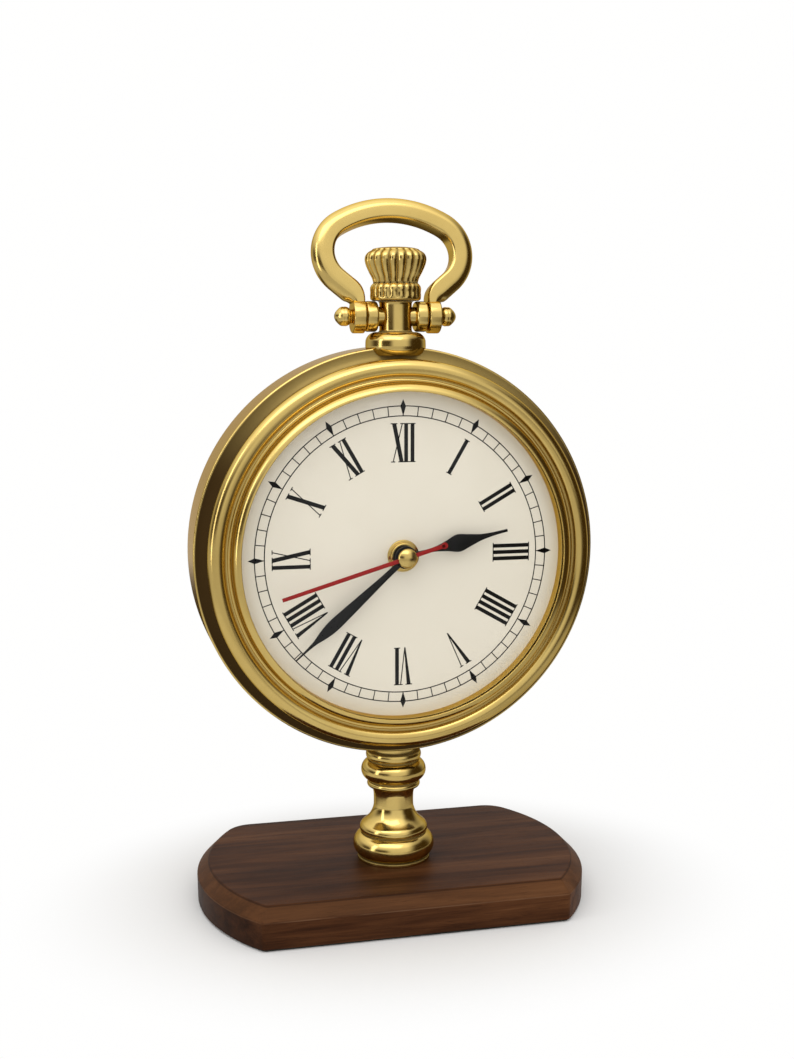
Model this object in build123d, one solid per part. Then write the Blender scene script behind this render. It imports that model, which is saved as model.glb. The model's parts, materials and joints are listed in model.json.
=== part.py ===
from build123d import *
import math
import os

# Brass desk clock in the form of a pocket watch, on a walnut base, with a quartz movement.
# Millimetres. Origin at the middle of the underside, +Z up, the dial faces -Y.

# Clearances
OVERRUN = 1.0
SLIP = 0.05
SEAT = 0.1
END_PLAY = 0.2

# Walnut base and felt
BASE_CORNER_X = 65.2
BASE_BOW = 20.5
BASE_HALF_DEPTH = 54.2
BASE_THICKNESS = 16.7
BASE_CHAMFER = 5.4
BASE_BACK_ROUND = 12.0
FELT_THICKNESS = 1.0
FELT_INSET = 1.5
PILLAR_FORWARD = 6.5

# Tie rod through base, pillar and case, with its nuts and washers
ROD_RADIUS = 3.0
ROD_HOLE_RADIUS = 3.2
ROD_END = 1.0
NUT_FLATS = 10.0
NUT_THICKNESS = 5.0
WASHER_RADIUS = 7.0
WASHER_THICKNESS = 1.6
COUNTERBORE_RADIUS = 10.5
COUNTERBORE_DEPTH = 8.0

# Pillar foot
FOOT_LIP_RADIUS = 15.9
FOOT_LIP_HEIGHT = 1.6
FOOT_WAIST_RADIUS = 14.7
FOOT_BULGE = 3.1
FOOT_HEIGHT = 11.8

# Pillar stem
STEM_NECK_RADIUS = 13.7
STEM_NECK_HEIGHT = 0.8
STEM_BAND_RADIUS = 14.9
STEM_BAND_HEIGHT = 1.6
STEM_SHOULDER_RADIUS = 12.6
STEM_SHOULDER_HEIGHT = 5.2
STEM_WAIST_RADIUS = 8.6
STEM_WAIST_HEIGHT = 15.0
STEM_FLARE_RADIUS = 9.8
STEM_RING_RADIUS = 11.6
STEM_RING_HEIGHT = 2.2
STEM_HEIGHT = 23.1
STEM_EDGE = 0.5
STEM_SHOULDER_BULGE_SHARE = 0.12
STEM_WAIST_BULGE_SHARE = -0.12
STEM_FLARE_BULGE_SHARE = -0.06
STEM_RING_BULGE_SHARE = 0.23

# Pillar collar, shaped on top to the drum
COLLAR_NECK_RADIUS = 10.7
COLLAR_GROOVE = 0.8
COLLAR_WAIST_RADIUS = 11.3
COLLAR_BULGE = 2.9
COLLAR_BULGE_HEIGHT = 8.8
COLLAR_RING_RADIUS = 12.1
COLLAR_RING_HEIGHT = 3.4
COLLAR_POST_RADIUS = 9.4
COLLAR_HEIGHT = 15.6
COLLAR_RING_BULGE_SHARE = 0.15

# Case drum
DRUM_RADIUS = 86.7
DRUM_WALL = 2.5
DRUM_FRONT = 10.0
DRUM_BACK = 15.0
DRUM_EDGE = 0.8
COVE_DEPTH = 4.0
COVE_BULGE_SHARE = 0.22
ROUND_EDGE_SHARE = 0.2
NECK_STEP = 7.1
NECK_WALL = 2.4
COVE_WALL = 2.0

# Rings inside the drum: seat of the dial plate and seat of the rear cover
DIAL_SEAT_WIDTH = 3.6
DIAL_SEAT_THICKNESS = 2.0
COVER_SEAT_WIDTH = 6.5
COVER_SEAT_THICKNESS = 3.0

# Dial, plate, glass ring and glass
DIAL_FORWARD = 17.45
DIAL_THICKNESS = 0.5
DIAL_SUNK = 0.55
PLATE_THICKNESS = 1.5
GLASS_RING_WALL = 1.5
GLASS_RING_LENGTH = 5.0
GLASS_THICKNESS = 1.8
GLASS_DOME = 13.0

# Bezel
BEZEL_RIM_STEP = 5.0
BEZEL_RIM_LENGTH = 2.5
BEZEL_GAP = 0.5
BEZEL_BULGE_SHARE = 0.42
BEZEL_FACE_WIDTH = 7.1
BEZEL_FLOOR = 1.8
BEZEL_GROOVE_WIDTH = 0.7
BEZEL_RIDGE_WIDTH = 1.6
BEZEL_RIDGE_BULGE_SHARE = 0.3
BEAD_GROOVE_WIDTH = 0.4
BEAD_WIDTH = 3.3
BEAD_LIP = 0.9
BEAD_BULGE_SHARE = 0.25

# Rear cover
REAR_COVER_THICKNESS = 2.0
REAR_COVER_INSET = 0.6
REAR_OPENING_RADIUS = 43.0
REAR_OPENING_LIP = 1.2
COVER_SCREW_COUNT = 4
COVER_SCREW_RADIUS = 1.5
COVER_SCREW_HEAD_RADIUS = 2.8
COVER_SCREW_HEAD_HEIGHT = 1.6
COVER_SCREW_LENGTH = 4.2
COVER_SCREW_FIRST_ANGLE = 45.0
COVER_SCREW_TURN = 37.0
SLOT_WIDTH = 0.8
SLOT_DEPTH = 0.7

# Pendant on top of the case
PENDANT_FORWARD = 4.0
PENDANT_COLLAR_RADIUS = 12.7
PENDANT_COLLAR_HEIGHT = 6.0
PENDANT_COLLAR_OVERHANG = 3.7
PENDANT_COLLAR_TOP_RADIUS = 8.2
PENDANT_COLLAR_LOW_BULGE_SHARE = 0.14
PENDANT_COLLAR_TOP_BULGE_SHARE = 0.22
PENDANT_COLLAR_SKIRT_RADIUS = 10.6
NECK_PILLAR_RADIUS = 6.8
NECK_PILLAR_HEIGHT = 12.6
NECK_FLARE = 0.9
SPIGOT_RADIUS = 3.4
SPIGOT_BELOW_DRUM = 9.5
PENDANT_NUT_FLATS = 9.0
PENDANT_NUT_THICKNESS = 4.0
PENDANT_NUT_GAP = 0.25
PENDANT_BOSS_RADIUS = 6.0
PENDANT_SEAT_DEPTH = 5.0
PIVOT_ABOVE_COLLAR = 6.4
ARM_RADIUS = 4.0
DISC_RADIUS = 6.35
DISC_INNER_X = 8.2
DISC_OUTER_X = 13.2
DISC_EDGE = 0.6

# Crown and its stem
CROWN_GAP = 0.3
CROWN_FLUTES = 20
CROWN_SKIRT_RADIUS = 10.6
CROWN_SKIRT_HEIGHT = 6.9
CROWN_SKIRT_EDGE = 1.0
CROWN_WAIST_RADIUS = 9.4
CROWN_TOP_RADIUS = 12.9
CROWN_HEAD_HEIGHT = 13.9
CROWN_DOME = 1.3
CROWN_DOME_INSET = 0.5
CROWN_FLUTE_DEPTH = 0.9
STEM_RADIUS = 2.0
STEM_IN_CROWN = 9.0
STEM_BELOW_SPIGOT = 2.6
CLIP_RADIUS = 3.6
CLIP_THICKNESS = 0.8

# Bow and its screws
BOW_LEAN = 12.0
BOW_EAR_RADIUS = 7.0
BOW_EAR_INNER_X = 13.5
BOW_EAR_OUTER_X = 18.7
BOW_EAR_RISE = 4.6
BOW_WAIST_RADIUS = 7.0
BOW_FLARE_ANGLE = 50.0
BOW_HALF_WIDTH = 30.0
BOW_SHOULDER_RADIUS = 15.0
BOW_SHOULDER_ANGLE = 110.0
BOW_BAND = 9.3
BOW_DEPTH = 9.2
BOW_FACE = 5.1
BOW_INNER_EDGE = 0.9
BOW_OUTER_FLAT = 2.0
BOW_BEVEL_BULGE_SHARE = 0.14
BOW_SCREW_RADIUS = 2.0
BOW_SCREW_HEAD_RADIUS = 3.95
BOW_SCREW_NECK_RADIUS = 2.9
BOW_SCREW_NECK = 0.6
BOW_SCREW_GRIP = 6.0

# Quartz movement housing
MOVEMENT_CORNER = 3.0
MOVEMENT_DEPTH = 16.0
MOVEMENT_FRONT_WALL = 1.2
MOVEMENT_SIDE_WALL = 1.0
MOVEMENT_LID = 1.5
BUSHING_RADIUS = 4.0
BUSHING_LENGTH = 3.6
RUBBER_THICKNESS = 0.5
RUBBER_RADIUS = 9.0
DIAL_NUT_RADIUS = 6.75
DIAL_NUT_FLANGE = 1.0
DIAL_NUT_STEP_RADIUS = 5.7
DIAL_NUT_HEIGHT = 2.8
DIAL_NUT_EDGE = 0.4
PARTITION = 0.8
POST_RADIUS = 1.5

# Wheel train: layers counted from the dial, teeth, arbor distances and bearings seen from the front
HOUR_LAYER = 0
MINUTE_LAYER = 1
CENTRE_LAYER = 2
THIRD_LAYER = 3
SECONDS_LAYER = 4
ROTOR_LAYER = 5
SECONDS_TEETH = 40
SECONDS_PINION_TEETH = 8
THIRD_TEETH = 60
THIRD_PINION_TEETH = 8
CENTRE_TEETH = 64
CANNON_TEETH = 10
MINUTE_TEETH = 30
MINUTE_PINION_TEETH = 8
HOUR_TEETH = 32
KNOB_TEETH = 15
INTERMEDIATE_TEETH = 48
INTERMEDIATE_PINION_TEETH = 8
ROTOR_PINION_TEETH = 8
THIRD_DISTANCE = 11.9
MINUTE_DISTANCE = 10.0
INTERMEDIATE_DISTANCE = 8.64
ROTOR_DISTANCE = 8.4
THIRD_BEARING = 135.0
MINUTE_BEARING = 30.0
INTERMEDIATE_BEARING = -15.0
ROTOR_BEARING = 5.0
TOOTH_TIP_SHARE = 0.7
TOOTH_ROOT_SHARE = 1.1
TOOTH_TIP_HALF_SHARE = 0.09
TOOTH_ROOT_HALF_SHARE = 0.20
LAYER_THICKNESS = 1.2
LAYER_GAP = 0.6
FIRST_LAYER_GAP = 0.7
BRIDGE_THICKNESS = 1.0
BRIDGE_EDGE = 0.5
BRIDGE_MARGIN = 1.3
TRAIN_GAP = 0.7
BRIDGE_TONGUE = 3.0
POST_INSET = 2.2
ARBOR_RADIUS = 0.7
PIVOT_RADIUS = 0.4
PIVOT_LENGTH = 0.6
CENTRE_TUBE_RADIUS = 1.6
HOUR_PIPE_RADIUS = 2.6
WHEEL_HUB_RADIUS = 1.3
MINUTE_POST_RADIUS = 0.8

# Step motor and electronics
MAGNET_RADIUS = 2.6
MAGNET_LENGTH = 2.8
STATOR_THICKNESS = 1.0
STATOR_AIR_GAP = 0.4
STATOR_LEFT_MARGIN = 1.6
STATOR_LEG = 2.2
STATOR_BRIDGE = 0.2
COIL_WALL_GAP = 1.0
COIL_LENGTH = 11.0
COIL_RADIUS = 2.9
COIL_CORE_WIDTH = 1.6
BOBBIN_WALL = 0.5
BOBBIN_TUBE_RADIUS = 1.6
BOARD_LENGTH = 34.0
BOARD_HEIGHT = 4.6
BOARD_THICKNESS = 1.0
BOARD_MARGIN = 3.0
BOARD_GAP = 2.0
BOARD_POST_SHARES = (0.12, 0.88)
CHIP_RADIUS = 1.8
CHIP_HEIGHT = 0.8
CRYSTAL_RADIUS = 1.0
CRYSTAL_LENGTH = 6.0

# Setting knob
KNOB_SHAFT_RADIUS = 1.5
KNOB_RADIUS = 4.5
KNOB_HEIGHT = 3.0
KNOB_STANDOFF = 0.3
KNOB_FLUTES = 12
KNOB_FLUTE_RADIUS = 0.6

# Cell and its contacts
CELL_RADIUS = 7.25
CELL_LENGTH = 49.5
CELL_EDGE = 0.6
CELL_NUB_RADIUS = 2.75
CELL_NUB_LENGTH = 1.0
CONTACT_THICKNESS = 0.4
CONTACT_WIDTH = 8.0
CONTACT_TIP_RADIUS = 1.6
CONTACT_REACH = 1.3

# Hands
HOUR_HAND_ANGLE = 77.5
MINUTE_HAND_ANGLE = 228.5
SECOND_HAND_ANGLE = 253.5
HAND_THICKNESS = 0.6
HAND_SPACING = 1.8
FIRST_HAND_GAP = 0.6
HOUR_HAND_TO_RING = 23.1
HOUR_HAND_WIDTH = 7.4
HOUR_HUB_RADIUS = 4.4
MINUTE_HAND_TO_RING = 6.4
MINUTE_HAND_WIDTH = 5.4
MINUTE_HUB_RADIUS = 4.75
SECOND_HAND_TO_RING = 14.1
SECOND_HAND_WIDTH = 1.7
SECOND_HAND_TAIL = 16.7
SECOND_TAIL_RADIUS = 1.35
SECOND_HUB_RADIUS = 2.6
CAP_RADIUS = 4.1
CAP_SKIRT = 0.8
CAP_HEIGHT = 2.6

# Head of the crown from its waist, as shares of its height and of the step from waist to widest radius
CROWN_HEAD_SHARES = [(0.37, 0.57), (0.73, 1.0), (0.885, 0.8), (1.0, 0.23)]

# Outlines of the hands, as shares of length and of half width, one side
HOUR_OUTLINE_SHARES = [(0.0, 0.36), (0.30, 0.30), (0.40, 0.62), (0.52, 1.0), (0.64, 0.66), (0.74, 0.40),
                       (1.0, 0.16)]
MINUTE_OUTLINE_SHARES = [(0.0, 0.46), (0.16, 0.50), (0.40, 0.76), (0.56, 0.94), (0.66, 1.0), (0.72, 0.88),
                         (0.77, 0.66), (0.82, 0.38), (0.88, 0.2), (0.94, 0.1), (1.0, 0.04)]
SECOND_OUTLINE_SHARES = [(0.0, 1.0), (0.40, 1.0), (1.0, 0.62)]

# Levels and planes that follow from the sizes above
BASE_TOP = FELT_THICKNESS + BASE_THICKNESS
STEM_Z = BASE_TOP + FOOT_HEIGHT
COLLAR_Z = STEM_Z + STEM_HEIGHT
DRUM_BOTTOM_Z = COLLAR_Z + COLLAR_HEIGHT
CASE_Z = DRUM_BOTTOM_Z + DRUM_RADIUS
DRUM_TOP_Z = CASE_Z + DRUM_RADIUS
DRUM_BORE_RADIUS = DRUM_RADIUS - DRUM_WALL
NECK_RADIUS = DRUM_RADIUS - NECK_STEP
BEZEL_RIM_RADIUS = DRUM_RADIUS - BEZEL_RIM_STEP
BEZEL_GROOVE_RADIUS = BEZEL_RIM_RADIUS - BEZEL_FACE_WIDTH
BEZEL_RIDGE_RADIUS = BEZEL_GROOVE_RADIUS - BEZEL_GROOVE_WIDTH
BEAD_RADIUS = BEZEL_RIDGE_RADIUS - BEZEL_RIDGE_WIDTH - BEAD_GROOVE_WIDTH
GLASS_RING_RADIUS = BEAD_RADIUS - BEAD_WIDTH
DIAL_SEAT_BORE = GLASS_RING_RADIUS - DIAL_SEAT_WIDTH
COVER_SEAT_BORE = DRUM_BORE_RADIUS - COVER_SEAT_WIDTH
DIAL_Y = -DIAL_FORWARD
PLATE_Y = DIAL_Y + DIAL_THICKNESS
PLATE_BACK_Y = PLATE_Y + PLATE_THICKNESS
NECK_BORE_RADIUS = NECK_RADIUS - NECK_WALL
NECK_FRONT_Y = DIAL_Y - DIAL_SUNK
COVE_FRONT_Y = -DRUM_FRONT - COVE_DEPTH
GLASS_Y = DIAL_Y - GLASS_RING_LENGTH
GLASS_FRONT_Y = GLASS_Y - GLASS_THICKNESS
GLASS_SEAT_RADIUS = GLASS_RING_RADIUS + GLASS_RING_WALL + SEAT
COVER_Y = DRUM_BACK - REAR_COVER_INSET - REAR_COVER_THICKNESS
COVER_BACK_Y = COVER_Y + REAR_COVER_THICKNESS
COVER_SCREW_CIRCLE = DRUM_BORE_RADIUS - COVER_SEAT_WIDTH / 2
PENDANT_TOP_Z = DRUM_TOP_Z + PENDANT_COLLAR_HEIGHT
PENDANT_SEAT_Z = DRUM_TOP_Z - PENDANT_SEAT_DEPTH
PIVOT_Z = PENDANT_TOP_Z + PIVOT_ABOVE_COLLAR
NECK_TOP_Z = PENDANT_TOP_Z + NECK_PILLAR_HEIGHT
CROWN_Z = NECK_TOP_Z + CROWN_GAP
SPIGOT_END_Z = DRUM_TOP_Z - SPIGOT_BELOW_DRUM
CLIP_Z = SPIGOT_END_Z - END_PLAY - CLIP_THICKNESS
MOVEMENT_Y = PLATE_BACK_Y + RUBBER_THICKNESS
INNER_Y = MOVEMENT_Y + MOVEMENT_FRONT_WALL
LID_Y = MOVEMENT_Y + MOVEMENT_DEPTH - MOVEMENT_LID
MOVEMENT_BACK_Y = MOVEMENT_Y + MOVEMENT_DEPTH
BUSHING_END_Y = DIAL_Y - BUSHING_LENGTH
HOUR_HAND_Y = BUSHING_END_Y - FIRST_HAND_GAP
MINUTE_HAND_Y = HOUR_HAND_Y - HAND_SPACING
SECOND_HAND_Y = MINUTE_HAND_Y - HAND_SPACING
CELL_Y = INNER_Y + CELL_RADIUS + SEAT
CELL_HALF = (CELL_LENGTH + CELL_NUB_LENGTH) / 2
HOUR_HAND_LENGTH = GLASS_RING_RADIUS - HOUR_HAND_TO_RING
MINUTE_HAND_LENGTH = GLASS_RING_RADIUS - MINUTE_HAND_TO_RING
SECOND_HAND_LENGTH = GLASS_RING_RADIUS - SECOND_HAND_TO_RING


def layer_y(number):
    """Front face of a train layer; from the third wheel's on they stand behind the bridge."""
    y = INNER_Y + FIRST_LAYER_GAP + number * (LAYER_THICKNESS + LAYER_GAP)
    return y if number < THIRD_LAYER else y + BRIDGE_THICKNESS + LAYER_GAP


BRIDGE_Y = layer_y(CENTRE_LAYER) + LAYER_THICKNESS + LAYER_GAP


def polar(distance, bearing, start=(0, 0)):
    """Plan point (x, z) at a distance and a bearing, counted from +X towards +Z."""
    angle = math.radians(bearing)
    return start[0] + distance * math.cos(angle), start[1] + distance * math.sin(angle)


CENTRE_AT = (0, 0)
THIRD_AT = polar(THIRD_DISTANCE, THIRD_BEARING)
MINUTE_AT = polar(MINUTE_DISTANCE, MINUTE_BEARING)
INTERMEDIATE_AT = polar(INTERMEDIATE_DISTANCE, INTERMEDIATE_BEARING)
ROTOR_AT = polar(ROTOR_DISTANCE, ROTOR_BEARING, INTERMEDIATE_AT)
MINUTE_MODULE = 2 * MINUTE_DISTANCE / (CANNON_TEETH + MINUTE_TEETH)
KNOB_DISTANCE = MINUTE_MODULE * (MINUTE_TEETH + KNOB_TEETH) / 2
KNOB_AT = polar(KNOB_DISTANCE, MINUTE_BEARING, MINUTE_AT)


def tip_radius(distance, teeth, mate_teeth):
    """Radius over the teeth of a gear at its arbor distance from its mate."""
    return distance * (teeth + 2 * TOOTH_TIP_SHARE) / (teeth + mate_teeth)


# Housing of the movement, from the train, the coil, the board and the cell that it holds
CENTRE_WHEEL_RADIUS = tip_radius(THIRD_DISTANCE, CENTRE_TEETH, THIRD_PINION_TEETH)
THIRD_WHEEL_RADIUS = tip_radius(THIRD_DISTANCE, THIRD_TEETH, SECONDS_PINION_TEETH)
PARTITION_Z = -CENTRE_WHEEL_RADIUS - TRAIN_GAP - PARTITION
CELL_Z = PARTITION_Z - SEAT - CELL_RADIUS
INNER_BOTTOM = CELL_Z - CELL_RADIUS - SEAT
BRIDGE_BOTTOM = PARTITION_Z + PARTITION + BRIDGE_EDGE
BRIDGE_TOP = THIRD_AT[1] + THIRD_WHEEL_RADIUS + TRAIN_GAP
BRIDGE_LEFT = THIRD_AT[0] - THIRD_WHEEL_RADIUS - BRIDGE_MARGIN
BRIDGE_RIGHT = CENTRE_WHEEL_RADIUS + 2 * POST_RADIUS + END_PLAY
BOARD_TOP = BRIDGE_TOP + BOARD_GAP + BOARD_HEIGHT
INNER_TOP = BOARD_TOP + BRIDGE_EDGE
COIL_X = ROTOR_AT[0] + MAGNET_RADIUS + STATOR_AIR_GAP + STATOR_BRIDGE + END_PLAY + COIL_RADIUS
INNER_HALF = max(CELL_HALF + SLIP + CONTACT_REACH + CONTACT_THICKNESS, COIL_X + COIL_RADIUS + COIL_WALL_GAP)
BOARD_LEFT = BOARD_MARGIN - INNER_HALF


# Ways of making shapes

def outline(start, *steps):
    """Closed flat outline: each step is a point, or a point and its arc's bulge as a share of the chord.
    A positive bulge stands to the right of the way along the outline."""
    edges = []
    here = start
    for step in steps + (start,):
        end, bulge = step if isinstance(step[0], tuple) else (step, 0)
        if bulge:
            run_x, run_y = end[0] - here[0], end[1] - here[1]
            middle = (here[0] + end[0]) / 2 + bulge * run_y, (here[1] + end[1]) / 2 - bulge * run_x
            edges.append(ThreePointArc(here, middle, end))
        elif math.dist(here, end) > 0:
            edges.append(Line(here, end))
        here = end
    return make_face(edges)


def arc_share(rise, half_span):
    """Bulge share of half of an arc that rises over twice the half span."""
    return math.tan(math.atan2(rise, half_span) / 2) / 2


def turned_upright(face):
    """Body turned about Z from an outline of (radius, height)."""
    return revolve(Plane.XZ * face, Axis.Z)


def turned_facing(face):
    """Body turned about Y from an outline of (radius, y)."""
    return revolve(face, Axis.Y)


def upright_rod(radius, low, high):
    return Pos(0, 0, low) * Cylinder(radius, high - low, align=(Align.CENTER, Align.CENTER, Align.MIN))


def facing_rod(radius, front, back, at=(0, 0)):
    """Cylinder along Y between two planes, at a plan point (x, z)."""
    rod = Cylinder(radius, back - front, align=(Align.CENTER, Align.CENTER, Align.MIN))
    return Pos(at[0], front, at[1]) * Rot(-90, 0, 0) * rod


def cross_rod(radius, left, right):
    """Cylinder along X between two places."""
    rod = Cylinder(radius, right - left, align=(Align.CENTER, Align.CENTER, Align.MIN))
    return Pos(left, 0, 0) * Rot(0, 90, 0) * rod


def block(x_from, x_to, y_from, y_to, z_from, z_to):
    box = Box(x_to - x_from, y_to - y_from, z_to - z_from, align=Align.MIN)
    return Pos(x_from, y_from, z_from) * box


def facing_plate(face, front, thickness):
    """Plate of a flat (x, z) outline, from its front plane backwards."""
    return Pos(0, front, 0) * extrude(Plane.XZ * face, -thickness)


def ring_plate(outer, inner, front, thickness):
    return facing_rod(outer, front, front + thickness) - facing_rod(
        inner, front - OVERRUN, front + thickness + OVERRUN)


def hex_nut(flats, thickness, bore):
    nut = extrude(RegularPolygon(flats / math.sqrt(3), 6), thickness)
    return nut - upright_rod(bore, -OVERRUN, thickness + OVERRUN)


def gear_face(module, teeth, tooth_at):
    """Toothed outline with straight flanks, one tooth centred at the angle tooth_at."""
    pitch_radius = module * teeth / 2
    tip = pitch_radius + TOOTH_TIP_SHARE * module
    root = pitch_radius - TOOTH_ROOT_SHARE * module
    corners = [(root, -TOOTH_ROOT_HALF_SHARE), (tip, -TOOTH_TIP_HALF_SHARE),
               (tip, TOOTH_TIP_HALF_SHARE), (root, TOOTH_ROOT_HALF_SHARE)]
    points = [polar(radius, tooth_at + (tooth + share) * 360 / teeth)
              for tooth in range(teeth) for radius, share in corners]
    return make_face(Polyline(points, close=True))


def gear(distance, teeth, mate_teeth, layer, at, mate_at, gap_to_mate=False):
    """Gear in a layer, with a tooth, or a gap, turned towards its mate at the given arbor distance."""
    module = 2 * distance / (teeth + mate_teeth)
    towards = math.degrees(math.atan2(mate_at[1] - at[1], mate_at[0] - at[0]))
    face = gear_face(module, teeth, towards + (180 / teeth if gap_to_mate else 0))
    return Pos(at[0], 0, at[1]) * facing_plate(face, layer_y(layer), LAYER_THICKNESS)


def arbor(at, front, back):
    """Arbor with a thin pivot past each of the two planes that carry it."""
    body = facing_rod(ARBOR_RADIUS, front + SEAT, back - SEAT, at)
    return body + facing_rod(PIVOT_RADIUS, front - PIVOT_LENGTH, back + PIVOT_LENGTH, at)


def pivot_hole(at, plane):
    """Cutter for a pivot's blind hole on either side of a plane."""
    reach = PIVOT_LENGTH + SEAT
    return facing_rod(PIVOT_RADIUS + SLIP, plane - reach, plane + reach, at)


# Base, tie rod and pillar

def base_plan(inset):
    """Plan of the base, drawn in by an inset: straight front and back, bowed ends, soft back corners."""
    end_radius = (BASE_HALF_DEPTH ** 2 + BASE_BOW ** 2) / (2 * BASE_BOW)
    end_middle = BASE_CORNER_X + BASE_BOW - end_radius
    depth = BASE_HALF_DEPTH - inset
    radius = end_radius - inset
    x = end_middle + math.sqrt(radius ** 2 - depth ** 2)
    bow_share = (end_middle + radius - x) / (2 * depth)
    plan = outline((-x, -depth), (x, -depth), ((x, depth), bow_share), (-x, depth), ((-x, -depth), bow_share))
    back_corners = plan.vertices().filter_by(lambda corner: corner.Y > 0)
    return fillet(back_corners, BASE_BACK_ROUND - inset)


def wooden_base():
    chamfer_z = BASE_TOP - BASE_CHAMFER
    board = Pos(0, 0, FELT_THICKNESS) * extrude(base_plan(0), BASE_THICKNESS - BASE_CHAMFER)
    levels = [Pos(0, 0, chamfer_z) * base_plan(0), Pos(0, 0, BASE_TOP) * base_plan(BASE_CHAMFER)]
    board += loft(levels, ruled=True)
    recess = upright_rod(COUNTERBORE_RADIUS, 0, FELT_THICKNESS + COUNTERBORE_DEPTH)
    return board - on_pillar(recess + upright_rod(ROD_HOLE_RADIUS, 0, BASE_TOP + OVERRUN))


def base_felt():
    return extrude(base_plan(FELT_INSET), FELT_THICKNESS)


def on_pillar(piece):
    """Place a piece made on the Z axis on the pillar's axis."""
    return Pos(0, -PILLAR_FORWARD, 0) * piece


def on_pendant(piece):
    """Place a piece made on the Z axis on the pendant's axis, over the middle of the case and bezel."""
    return Pos(0, -PILLAR_FORWARD - PENDANT_FORWARD, 0) * piece


def on_case(piece):
    """Place a piece made round the Y axis on the case's axis."""
    return Pos(0, -PILLAR_FORWARD, CASE_Z) * piece


RECESS_Z = FELT_THICKNESS + COUNTERBORE_DEPTH
CASE_WASHER_Z = CASE_Z - math.sqrt(DRUM_BORE_RADIUS ** 2 - WASHER_RADIUS ** 2)
CASE_NUT_Z = CASE_WASHER_Z + WASHER_THICKNESS


def tie_rod():
    low = RECESS_Z - WASHER_THICKNESS - NUT_THICKNESS - ROD_END + SEAT
    return upright_rod(ROD_RADIUS, low, CASE_NUT_Z + NUT_THICKNESS + ROD_END)


def rod_washer():
    return upright_rod(WASHER_RADIUS, 0, WASHER_THICKNESS) - upright_rod(
        ROD_HOLE_RADIUS, -OVERRUN, WASHER_THICKNESS + OVERRUN)


def rod_nut():
    return hex_nut(NUT_FLATS, NUT_THICKNESS, ROD_RADIUS + SLIP)


def rod_bore(piece):
    return piece - upright_rod(ROD_HOLE_RADIUS, 0, CASE_Z)


def drum_cutter():
    """Cutter that hollows a saddle for the drum."""
    return Pos(0, 0, CASE_Z) * facing_rod(DRUM_RADIUS + SLIP, -DRUM_RADIUS, DRUM_RADIUS)


def pedestal_foot():
    shoulder = BASE_TOP + FOOT_LIP_HEIGHT
    bulge_share = FOOT_BULGE / (FOOT_HEIGHT - FOOT_LIP_HEIGHT)
    face = outline((0, BASE_TOP), (FOOT_LIP_RADIUS, BASE_TOP), (FOOT_LIP_RADIUS, shoulder),
                   (FOOT_WAIST_RADIUS, shoulder), ((FOOT_WAIST_RADIUS, STEM_Z), bulge_share), (0, STEM_Z))
    return rod_bore(turned_upright(face))


def pedestal_stem():
    band = STEM_Z + STEM_NECK_HEIGHT
    band_top = band + STEM_BAND_HEIGHT
    ring = COLLAR_Z - STEM_RING_HEIGHT
    face = outline(
        (0, STEM_Z), (STEM_NECK_RADIUS, STEM_Z), (STEM_NECK_RADIUS, band),
        (STEM_BAND_RADIUS - STEM_EDGE, band), (STEM_BAND_RADIUS, band + STEM_EDGE),
        (STEM_BAND_RADIUS, band_top),
        ((STEM_SHOULDER_RADIUS, STEM_Z + STEM_SHOULDER_HEIGHT), STEM_SHOULDER_BULGE_SHARE),
        ((STEM_WAIST_RADIUS, STEM_Z + STEM_WAIST_HEIGHT), STEM_WAIST_BULGE_SHARE),
        ((STEM_FLARE_RADIUS, ring), STEM_FLARE_BULGE_SHARE),
        (STEM_RING_RADIUS - STEM_EDGE, ring),
        ((STEM_RING_RADIUS - STEM_EDGE, COLLAR_Z), STEM_RING_BULGE_SHARE),
        (0, COLLAR_Z))
    return rod_bore(turned_upright(face))


def pedestal_collar():
    groove = COLLAR_Z + COLLAR_GROOVE
    bulge_top = groove + COLLAR_BULGE_HEIGHT
    ring = bulge_top + COLLAR_GROOVE
    ring_top = ring + COLLAR_RING_HEIGHT
    post_top = DRUM_BOTTOM_Z + OVERRUN
    face = outline(
        (0, COLLAR_Z), (COLLAR_NECK_RADIUS, COLLAR_Z), (COLLAR_NECK_RADIUS, groove),
        (COLLAR_WAIST_RADIUS, groove),
        ((COLLAR_WAIST_RADIUS, bulge_top), COLLAR_BULGE / COLLAR_BULGE_HEIGHT),
        (COLLAR_NECK_RADIUS, bulge_top), (COLLAR_NECK_RADIUS, ring), (COLLAR_RING_RADIUS - STEM_EDGE, ring),
        ((COLLAR_RING_RADIUS - STEM_EDGE, ring_top), COLLAR_RING_BULGE_SHARE),
        (COLLAR_POST_RADIUS, ring_top), (COLLAR_POST_RADIUS, post_top), (0, post_top))
    return rod_bore(turned_upright(face) - drum_cutter())


# Case, dial and glass

def drum_outside(extra):
    """Steps of the drum's outside from its back edge to its neck, stood off by an extra radius."""
    radius = DRUM_RADIUS + extra
    neck = NECK_RADIUS + extra
    edge = DRUM_EDGE
    return [(radius - edge, DRUM_BACK), ((radius, DRUM_BACK - edge), -ROUND_EDGE_SHARE),
            (radius, edge - DRUM_FRONT), ((radius - edge, -DRUM_FRONT), -ROUND_EDGE_SHARE),
            ((neck, COVE_FRONT_Y), COVE_BULGE_SHARE), (neck, NECK_FRONT_Y)]


def drum_core(extra=0):
    """The drum as if it were solid."""
    return turned_facing(outline((0, DRUM_BACK), *drum_outside(extra), (0, NECK_FRONT_Y)))


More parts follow.
